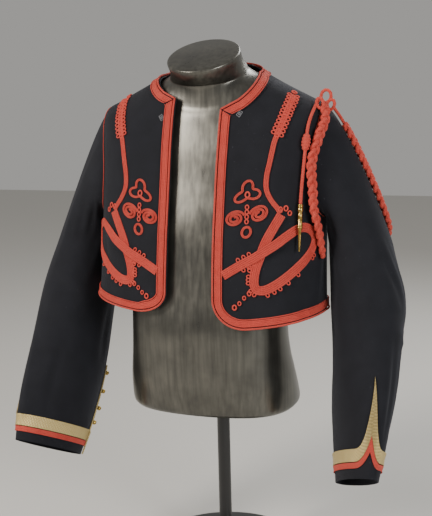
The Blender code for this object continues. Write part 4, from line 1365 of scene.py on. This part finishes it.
def knot_loop(loop):
    tilt = math.radians(loop.tilt)
    points = []
    for turn in turns_of(KNOT_POINTS):
        aside, up = loop.half_width * math.sin(turn), loop.half_height * math.cos(turn)
        x = loop.x + aside * math.cos(tilt) + up * math.sin(tilt)
        z = loop.z - aside * math.sin(tilt) + up * math.cos(tilt)
        points.append(Vector((x, loop.y, z)))
    length = sum((points[i] - points[i - 1]).length for i in range(KNOT_POINTS))
    sections = cord_sections(
        points, KNOT_CORD, pitch=length / round(length / 0.011), across=Vector((0, 1, 0))
    )
    return belongs(loft(loop.name + "_twisted", [sections], CORD, ring=True, crease=80), "cord", loop.name)


knots = [knot_loop(loop) for loop in KNOT_LOOPS]

# %% Routes of the plaits
# The front plait's route over the body, with its angle in degrees
OnBody = namedtuple("OnBody", "angle down out")
FRONT_PLAIT = row_list(
    OnBody,
    (79, 0.15, 0.0105), (74, 0.17, 0.0115), (66, 0.192, 0.0122), (60, 0.228, 0.0125), (62, 0.281, 0.0125),
    (64, 0.315, 0.0125), (69, 0.349, 0.012), (74, 0.383, 0.01), (77, 0.404, 0.0085),
)
# The back plait's route over the sleeve, with its turn round it in degrees
OnSleeve = namedtuple("OnSleeve", "turn along")
BACK_PLAIT = row_list(
    OnSleeve,
    (-2, 0.03), (-2, 0.07), (-4, 0.12), (-6, 0.17), (-10, 0.22), (-15, 0.265), (-24, 0.305), (-40, 0.34),
    (-62, 0.37), (-88, 0.39),
)


# %% Plaits
PLAIT_STEP = 0.0016
PLAIT_PERIOD = 0.044
PLAIT_ASIDE = 0.0055
PLAIT_DEPTH = 0.0024
PLAIT_STRAND = 0.0041
PLAIT_TUCK = 10
PLAIT_TAPER = 0.45
PLAIT_TAPER_FROM = 0.55
BACK_PLAIT_FROM = 24
BACK_PLAIT_OUT = 0.0058
KNOT_FOOT = Vector((0.2190, -0.0170, 0.8440))


def plait(name, middle, surface, first=0):
    """Three strands that cross over and under each other, from a step of the path to its end."""
    path = spaced(middle, PLAIT_STEP)
    under = spaced(surface, PLAIT_STEP * 0.5)
    bodies, last = [], len(path) - 1
    for strand in range(3):
        points = []
        for i in range(first, last + 1):
            way = (path[min(i + 1, last)] - path[max(i - 1, 0)]).normalized()
            foot = under[round(i * (len(under) - 1) / last)]
            out = (path[i] - foot).normalized()
            out = (out - way * out.dot(way)).normalized()
            turn = 2 * math.pi * (i * PLAIT_STEP / PLAIT_PERIOD + strand / 3)
            tuck = math.sin(math.pi * min(i - first, last - i, PLAIT_TUCK) / (2 * PLAIT_TUCK))
            thin = 1 - PLAIT_TAPER * max((i / last - PLAIT_TAPER_FROM) / (1 - PLAIT_TAPER_FROM), 0.0)
            aside = way.cross(out) * PLAIT_ASIDE * math.sin(turn) * tuck
            points.append(path[i] + (aside + out * PLAIT_DEPTH * math.sin(2 * turn)) * thin)
        bodies.append(cord_sections(points, PLAIT_STRAND, 12, 2, 0.014))
    return belongs(loft(name + "_strands", bodies, CORD, crease=80), "cord", name), path


front_rows = [(math.radians(row.angle), row.down, row.out) for row in FRONT_PLAIT]
front_middle = [off_surface(smooth_body, angle, down, out, 1) for angle, down, out in front_rows]
plait_front, front_path = plait("plait_front", front_middle, [smooth_body(a, d) for a, d, _ in front_rows])
back_rows = [(math.radians(row.turn), row.along) for row in BACK_PLAIT]
back_middle = [off_surface(smooth_sleeve, turn, along, BACK_PLAIT_OUT, -1) for turn, along in back_rows]
back_surface = [smooth_sleeve(*row) for row in back_rows]
back_middle[0], back_surface[0] = KNOT_FOOT, KNOT_FOOT - Vector((0, 0, BACK_PLAIT_OUT))
plait_back, back_path = plait("plait_back", back_middle, back_surface, BACK_PLAIT_FROM)
lead_path = back_path[: BACK_PLAIT_FROM + 4]
lead = belongs(
    loft("lead_cord_twisted", [cord_sections(lead_path, CORD_RADIUS, pitch=CORD_PITCH)], CORD, crease=80),
    "cord",
)


# %% Hanging cord, slide knot and ferrule
Place = namedtuple("Place", "x y z")
HANGING_ROUTE = row_list(
    Place,
    (0.195, -0.03, 0.8575), (0.1915, -0.053, 0.84), (0.188, -0.07, 0.819), (0.187, -0.08, 0.796),
    (0.1855, -0.086, 0.77), (0.1835, -0.091, 0.74), (0.182, -0.0965, 0.712), (0.1815, -0.101, 0.69),
)
SLIDE_HIGH = 0.805
SLIDE_LOW = 0.776
SLIDE_RADIUS = 0.0062
FERRULE_TIP = Place(0.1820, -0.1142, 0.6120)
# The turned outline of the ferrule: how far down its top each radius lies
FINE_FERRULE = [
    (0.0000, 0.0032), (0.0006, 0.0043), (0.0014, 0.0046), (0.0024, 0.0046), (0.0030, 0.0041),
    (0.0036, 0.0046), (0.0048, 0.0046), (0.0054, 0.0041), (0.0060, 0.0046), (0.0110, 0.0046),
    (0.0122, 0.0043), (0.0136, 0.0034), (0.0150, 0.0034), (0.0162, 0.0040), (0.0240, 0.0040),
    (0.0246, 0.0036), (0.0252, 0.0040), (0.0336, 0.0040), (0.0350, 0.0044), (0.0362, 0.0046),
    (0.0372, 0.0042), (0.0382, 0.0046), (0.0396, 0.0045), (0.0412, 0.0038), (0.0430, 0.0030),
    (0.0520, 0.0026), (0.0700, 0.0018), (0.0772, 0.0014), (0.0786, 0.0009),
]
FERRULE_FACES = 28

hanging_path = spaced(HANGING_ROUTE, 0.0022)
hanging = loft("hanging_cord", [cord_sections(hanging_path, CORD_RADIUS, pitch=CORD_PITCH)], CORD, crease=80)
belongs(hanging, "cord", "cord_upper", "cord_lower")


def slide_knot():
    """The wrapped knot that slides on the cord: five turns of cord round it."""
    points = [point for point in hanging_path if SLIDE_LOW - 0.001 < point.z < SLIDE_HIGH + 0.001]
    points = spaced(points, 0.0006)
    sections = []
    for i, section in enumerate(cord_sections(points, 1.0, 20, plies=0)):
        share = i / (len(points) - 1)
        belly = math.sin(math.pi * min(max(share, 0.03), 0.97)) ** 0.35
        reach = SLIDE_RADIUS * belly + 0.0015 * abs(math.sin(5 * math.pi * share)) ** 0.7
        sections.append([points[i] + (corner - points[i]) * reach for corner in section])
    return belongs(loft("slide_knot_wrapped", [sections], CORD, crease=80), "cord", "slide_knot")


def ferrule():
    top, tip = Vector(HANGING_ROUTE[-1]), Vector(FERRULE_TIP)
    way = (tip - top).normalized()
    turned = way.to_track_quat("Z", "Y")
    sections = []
    for down, radius in FINE_FERRULE:
        middle = top + way * (TOUCH + down)
        turns = turns_of(FERRULE_FACES)
        sections.append(
            [middle + turned @ Vector((radius * math.cos(t), radius * math.sin(t), 0)) for t in turns]
        )
    return belongs(loft("ferrule_turned", [sections], BRASS, crease=40), "ferrule", "ferrule")


slide, brass_end = slide_knot(), ferrule()

# %% [markdown]
# ## Loops, stitches and badges
# Small loops of braid, called picots, edge the ornament, and machine stitches hold every braid down.
# There are too many to place by hand, so Geometry Nodes copy one loop or one stitch to points on the
# cloth. Each point carries the direction out of the cloth and the direction of its row. The copies are
# made real at the end.

# %% A unit repeated on the cloth
Spot = namedtuple("Spot", "point out along size")


def loop_unit(tree, inputs):
    """An oval loop of thin cord that lies flat."""
    ring = add_node(
        tree, "GeometryNodeCurvePrimitiveCircle", {"Resolution": 14, "Radius": inputs["Loop radius"]}
    )
    oval = add_node(tree, "GeometryNodeTransform", {"Geometry": ring, "Scale": (1.0, 1.25, 1.0)})
    wire = add_node(
        tree, "GeometryNodeCurvePrimitiveCircle", {"Resolution": 6, "Radius": inputs["Cord radius"]}
    )
    return add_node(tree, "GeometryNodeCurveToMesh", {"Curve": oval, "Profile Curve": wire})


def stitch_unit(tree, inputs):
    """A short thread, thickest in its middle."""
    bead = add_node(tree, "GeometryNodeMeshUVSphere", {"Segments": 6, "Rings": 4, "Radius": 1.0})
    parts = {"X": inputs["Thread"], "Y": inputs["Stitch"], "Z": inputs["Thread"]}
    return add_node(
        tree,
        "GeometryNodeTransform",
        {"Geometry": bead, "Scale": add_node(tree, "ShaderNodeCombineXYZ", parts)},
    )


def repeated(name, spots_list, unit, material, slot, **sizes):
    mesh = bpy.data.meshes.new(name)
    mesh.from_pydata([spot.point for spot in spots_list], [], [])
    for key in ("out", "along"):
        held = mesh.attributes.new(key, "FLOAT_VECTOR", "POINT")
        held.data.foreach_set("vector", [value for spot in spots_list for value in getattr(spot, key)])
    mesh.attributes.new("size", "FLOAT", "POINT").data.foreach_set(
        "value", [spot.size for spot in spots_list]
    )
    piece = bpy.data.objects.new(name, mesh)
    bpy.context.scene.collection.objects.link(piece)
    tree = bpy.data.node_groups.new(name + "_layout", "GeometryNodeTree")
    tree.interface.new_socket("Geometry", in_out="INPUT", socket_type="NodeSocketGeometry")
    sockets = {}
    for key in sizes:
        title = key.replace("_", " ")
        sockets[key] = tree.interface.new_socket(title, in_out="INPUT", socket_type="NodeSocketFloat")
    finish_socket = tree.interface.new_socket("Finish", in_out="INPUT", socket_type="NodeSocketMaterial")
    tree.interface.new_socket("Geometry", in_out="OUTPUT", socket_type="NodeSocketGeometry")
    inputs = add_node(tree, "NodeGroupInput").node.outputs
    turn = None
    for axis, key in (("Z", "out"), ("Y", "along")):
        way = add_node(tree, "GeometryNodeInputNamedAttribute", {"Name": key}, data_type="FLOAT_VECTOR")
        values = {"Vector": way} if turn is None else {"Vector": way, "Rotation": turn}
        turn = add_node(tree, "FunctionNodeAlignRotationToVector", values, axis=axis)
    size = add_node(tree, "GeometryNodeInputNamedAttribute", {"Name": "size"}, data_type="FLOAT")
    values = {"Points": inputs["Geometry"], "Instance": unit(tree, inputs), "Rotation": turn, "Scale": size}
    copies = add_node(tree, "GeometryNodeInstanceOnPoints", values)
    real = add_node(tree, "GeometryNodeRealizeInstances", [copies])
    done = add_node(tree, "GeometryNodeSetMaterial", {"Geometry": real, "Material": inputs["Finish"]})
    add_node(tree, "NodeGroupOutput", [done], out=None)
    layout = piece.modifiers.new("layout", "NODES")
    layout.node_group = tree
    for key, socket in sockets.items():
        layout[socket.identifier] = sizes[key]
    layout[finish_socket.identifier] = material
    shown = piece.evaluated_get(bpy.context.evaluated_depsgraph_get())
    plain = bpy.data.meshes.new_from_object(shown)
    piece.modifiers.remove(layout)
    piece.data = plain
    plain.shade_smooth()
    return belongs(piece, slot)


# %% Places of the small loops
LOOP_LIFT = 0.0010


def spot_beside(places, share, aside, size, lift=LOOP_LIFT):
    """A loop beside a line of braid, at a share of its length."""
    i = round(share * (len(places) - 1))
    along, left = frame_on(places, i)
    at = shifted(*places[i], left * aside)
    return Spot(body(*at, BRAID_LIFT + lift), along.cross(left), left, size)


LoopRow = namedtuple("LoopRow", "start end count aside")
LOOP_ROWS = row_list(
    LoopRow,
    (0.185, 0.3, 9, -0.009), (0.335, 0.405, 4, -0.009), (0.455, 0.455, 1, -0.009), (0.525, 0.54, 2, -0.009),
    (0.885, 0.93, 3, -0.0094), (0.88, 0.925, 3, 0.009),
)
Drop = namedtuple("Drop", "across down size")
LOOSE_LOOPS = row_list(
    Drop,
    (0.105, 0.435, 1.1), (0.0965, 0.4425, 0.95), (0.0885, 0.452, 0.95), (0.08, 0.459, 1.2),
    (0.166, 0.292, 1.2), (0.173, 0.304, 1.1), (0.156, 0.29, 1.15), (0.201, 0.0925, 1.3),
    (0.0985, 0.266, 1.05), (0.0985, 0.276, 1.05), (0.0985, 0.286, 1.05), (0.0985, 0.296, 1.05),
    (0.0985, 0.24, 1.35),
)
PAD_ROWS = 12
PAD_ASIDE = 0.0068

small_loops = []
for side in (1, -1):
    line = [(angle, down) for angle, down, _ in smooth_places(LOOP_BRAID, BAND_STEP, side)]
    for row in LOOP_ROWS:
        for share in evenly(row.start, row.end, max(row.count - 1, 1))[: row.count]:
            small_loops.append(spot_beside(line, share, side * row.aside, 1.0))
    for drop in LOOSE_LOOPS:
        angle, down, _ = placed(drop.across, drop.down, side)
        around, downward = slopes_of(body_skin, angle, down)
        out = downward.cross(around).normalized()
        point = body(angle, down, BRAID_LIFT + LOOP_LIFT)
        small_loops.append(Spot(point, out, downward.normalized(), drop.size))
    pad = [(angle, down) for angle, down, _ in smooth_places(SHOULDER_PAD, 0.0015, side)]
    for i in range(PAD_ROWS):
        share = (i + 0.5) / PAD_ROWS
        for aside in (-PAD_ASIDE, 0.0, PAD_ASIDE):
            late = 0.5 / PAD_ROWS if aside == 0.0 else 0.0
            small_loops.append(spot_beside(pad, min(share + late, 1.0), aside, 1.05, 0.0014))
repeated("small_braid_loops", small_loops, loop_unit, BRAID, "braid", Loop_radius=0.0027, Cord_radius=0.0011)

# %% Stitches
STITCH_STEP = 0.0034
STITCH_LINES = (0.0062, 0.0177)
STITCH_HIGH = 0.0019
STITCH_INSET = 0.0016


def stitch_row(places, asides, lift, lifts=None):
    """Stitches at an even step along lines beside a row of places."""
    found = []
    for aside in asides:
        points, outs = [], []
        for i, place in enumerate(places):
            along, left = frame_on(places, i)
            extra = lifts[i] if lifts else 0.0
            points.append(body(*shifted(*place, left * aside), lift + extra))
            outs.append(along.cross(left))
        gone = 0.0
        for i in range(len(points) - 1):
            step = points[i + 1] - points[i]
            while gone < step.length:
                found.append(Spot(points[i] + step * (gone / step.length), outs[i], step.normalized(), 1.0))
                gone += STITCH_STEP
            gone -= step.length
    return found


stitches = stitch_row(neck_places()[1:-1], [-aside for aside in STITCH_LINES], NECK_LIFT + STITCH_HIGH)
stitches += stitch_row(back_hem_places(), STITCH_LINES, NECK_LIFT + STITCH_HIGH)
for side in (1, -1):
    asides = [side * aside for aside in STITCH_LINES]
    stitches += stitch_row(front_edge_places(side)[2:], asides, BRAID_LIFT + STITCH_HIGH)
    ways = smooth_places(LOOP_BRAID, BAND_STEP, side)
    line, lifts = [(angle, down) for angle, down, _ in ways], [lift for _, _, lift in ways]
    aside = WIDE_BRAID / 2 - STITCH_INSET
    stitches += stitch_row(line, (-aside, aside), BRAID_LIFT + STITCH_HIGH + 0.0001, lifts)
repeated("braid_stitches", stitches, stitch_unit, BRAID, "braid", Thread=0.00028, Stitch=0.0011)
print("stitches:", len(stitches), "small loops:", len(small_loops))

# %% Badges at the collar
BADGE_ACROSS = {1: 0.0790, -1: 0.0650}
BADGE_DOWN = 0.0660


def lozenge(side, half_width, half_height, steps=40):
    """Places round a lozenge with straight sides."""
    places = []
    for turn in turns_of(steps):
        aside = half_width * math.cos(turn) * abs(math.cos(turn))
        up = half_height * math.sin(turn) * abs(math.sin(turn))
        places.append(placed(BADGE_ACROSS[side] + aside, BADGE_DOWN - up, side))
    return places


thread = ribbed(-0.0007, 0.0014, 1, 0.0002, 0.0007)
for name, side in (("left", 1), ("right", -1)):
    laid_band(f"badge_{name}", lozenge(side, 0.0055, 0.0072), thread, SILVER, "galon", ring=True)
    laid_band(f"badge_heart_{name}", lozenge(side, 0.0020, 0.0028), thread, SILVER, "galon", ring=True)

# %% [markdown]
# ## Form and stand
# The form is a limbless torso of moulded glass fibre with a slanted cap on its neck. It is whole under
# the jacket and stands on a steel pole with a collar and a round weighted base. Its rings are the solid's
# own, with smooth ones drawn between them.

# %% Rings of the dress form
# The dress form below the shoulders, as rings like the jacket's
FORM_EASE = 0.010
FORM_GAP = 0.0008
FORM_EASE_SPREAD = 1.4
FORM_YOKE = [0.020, 0.045, 0.075, 0.105, 0.132]
FormRing = namedtuple("FormRing", "z_front z_side z_back half_width y_front y_back")
FORM_RINGS = row_list(
    FormRing,
    (0.74, 0.815, 0.79, 0.187, -0.108, 0.104),
    (0.7, 0.75, 0.735, 0.174, -0.117, 0.101),
    (0.65, 0.68, 0.67, 0.161, -0.128, 0.088),
    (0.58, 0.59, 0.585, 0.15, -0.138, 0.066),
    (0.515, 0.515, 0.515, 0.143, -0.146, 0.044),
    (0.465, 0.465, 0.465, 0.141, -0.151, 0.034),
    (0.42, 0.42, 0.42, 0.144, -0.15, 0.04),
    (0.375, 0.375, 0.375, 0.15, -0.148, 0.056),
    (0.34, 0.34, 0.34, 0.153, -0.143, 0.072),
    (0.324, 0.324, 0.324, 0.1525, -0.14, 0.078),
    (0.318, 0.318, 0.318, 0.148, -0.136, 0.075),
)
NeckRing = namedtuple("NeckRing", "z slope half_width y half_depth")
NECK_RINGS = row_list(
    NeckRing,
    (0.94, 0.48, 0.058, -0.055, 0.054), (0.938, 0.48, 0.063, -0.055, 0.059),
    (0.934, 0.47, 0.064, -0.053, 0.06), (0.924, 0.44, 0.0635, -0.044, 0.061),
    (0.914, 0.4, 0.067, -0.032, 0.062), (0.906, 0.37, 0.072, -0.027, 0.058),
)


# %% Dress form
FORM_SIDES = 96
RING_STEPS = 5


def yoke_ring(down):
    points = []
    for angle in turns_of(FORM_SIDES):
        ease = CLOTH + FORM_GAP + FORM_EASE * min(FORM_EASE_SPREAD * math.cos(angle) ** 2, 1)
        points.append(off_surface(smooth_body, angle, down, -ease, 1))
    return points


def neck_ring(ring):
    points = []
    for angle in turns_of(FORM_SIDES):
        y = ring.y - ring.half_depth * math.cos(angle)
        points.append(Vector((ring.half_width * math.sin(angle), y, ring.z + ring.slope * (y - ring.y))))
    return points


def waist_crease(point):
    """The shallow crease at the middle of the front, near the form's lower edge."""
    if point.y < 0 and point.z < 0.47:
        deep = 0.0045 * math.exp(-((point.x / 0.006) ** 2)) * math.exp(-(((point.z - 0.415) / 0.035) ** 2))
        point.y += deep
    return point


def make_form():
    rings = [neck_ring(ring) for ring in NECK_RINGS] + [yoke_ring(down) for down in FORM_YOKE]
    rings += [[ring_point(ring, angle) for angle in turns_of(FORM_SIDES)] for ring in FORM_RINGS]
    steps = [[(after - before).length for before, after in zip(*pair)] for pair in zip(rings, rings[1:])]
    gone = running(sum(step) / FORM_SIDES for step in steps)
    lines = []
    for i in range(FORM_SIDES):
        lines.append([Curve(gone, [ring[i][axis] for ring in rings]) for axis in range(3)])
    sections = []
    for low, high in zip(gone, gone[1:]):
        for step in range(RING_STEPS):
            at = low + (high - low) * step / RING_STEPS
            sections.append([waist_crease(Vector([curve(at) for curve in line])) for line in lines])
    sections.append(rings[-1])
    return belongs(loft("form_shell", [sections], FORM_PAINT, crease=60), "form", "dress_form")


make_form()


# %% Pole, collar and base
POLE_RADIUS = 0.012
POLE_COLLAR_HIGH = 0.014
BASE_HIGH = 0.014


def turned_piece(name, profile, node, sides=72):
    """A round piece on the pole's axis from its heights and radii."""
    sections = []
    for z, radius in profile:
        turns = turns_of(sides)
        sections.append([Vector((radius * math.cos(t), radius * math.sin(t), z)) for t in turns])
    return belongs(loft(name, [sections], ENAMEL, crease=40), "stand", node)


pole_top = FORM_RINGS[-1].z_side
collar_low = pole_top - TOUCH - POLE_COLLAR_HIGH
turned_piece(
    "base_disc",
    [
        (0, 0.147),
        (0.0015, 0.1495),
        (0.0105, 0.150),
        (0.0125, 0.1492),
        (0.0137, 0.1475),
        (0.014, 0.144),
        (0.014, 0.02),
    ],
    "stand_base",
)
turned_piece(
    "pole_tube", [(BASE_HIGH + TOUCH, POLE_RADIUS), (collar_low - TOUCH, POLE_RADIUS)], "stand_pole", 48
)
turned_piece(
    "pole_collar",
    [
        (collar_low, 0.0235),
        (collar_low + 0.0015, 0.0260),
        (pole_top - TOUCH - 0.0015, 0.0260),
        (pole_top - TOUCH, 0.0240),
    ],
    "stand_collar",
)

# %% [markdown]
# ## The cut, floor and light
# Each panel's area of one face is printed beside the area it was cut to. Then come a pale floor, three soft
# lights and an even pale surround, as in a plain studio.

# %% Sheets
Cut = namedtuple("Cut", "width length area")
CUTS = {
    "front": Cut(0.270, 0.480, 0.084),
    "back": Cut(0.560, 0.480, 0.220),
    "sleeve": Cut(0.460, 0.660, 0.224),
}


def declare_sheet(piece, cut):
    faces = piece.data.polygons
    print(
        piece.name,
        "one face of the cloth:",
        round(sum(face.area for face in faces) / 2, 4),
        "m2; cut",
        cut.area,
    )


for piece in fronts.values():
    declare_sheet(piece, CUTS["front"])
declare_sheet(back, CUTS["back"])
for side, piece in sleeves.items():
    declare_sheet(piece, CUTS["sleeve"])


# %% Floor and light
def pale_floor():
    material, _, shader = new_finish("pale_matt_board", Roughness=0.95)
    shader.inputs["Base Color"].default_value = linear("#CFCDC8")
    mesh = bmesh.new()
    bmesh.ops.create_grid(mesh, x_segments=8, y_segments=8, size=6)
    as_piece("floor", mesh, material)


def soft_light(name, place, size, power, colour="#FFFFFF"):
    data = bpy.data.lights.new(name, "AREA")
    data.size = size
    data.energy = power
    data.color = linear(colour)[:3]
    light = bpy.data.objects.new(name, data)
    light.location = place
    light.rotation_euler = (Vector((0, 0, 0.62)) - Vector(place)).to_track_quat("-Z", "Y").to_euler()
    bpy.context.scene.collection.objects.link(light)


pale_floor()
soft_light("key_light", (-1.5, -2.0, 2.0), 0.8, 74, "#FFF8F0")
soft_light("fill_light", (2.2, -1.5, 1.3), 0.9, 40)
soft_light("rim_light", (0.6, 1.8, 2.0), 1.0, 30)
surround = bpy.data.worlds.new("pale_surround")
surround.use_nodes = True
surround.node_tree.nodes["Background"].inputs["Color"].default_value = linear("#DCDAD6")
surround.node_tree.nodes["Background"].inputs["Strength"].default_value = 0.5
bpy.context.scene.world = surround
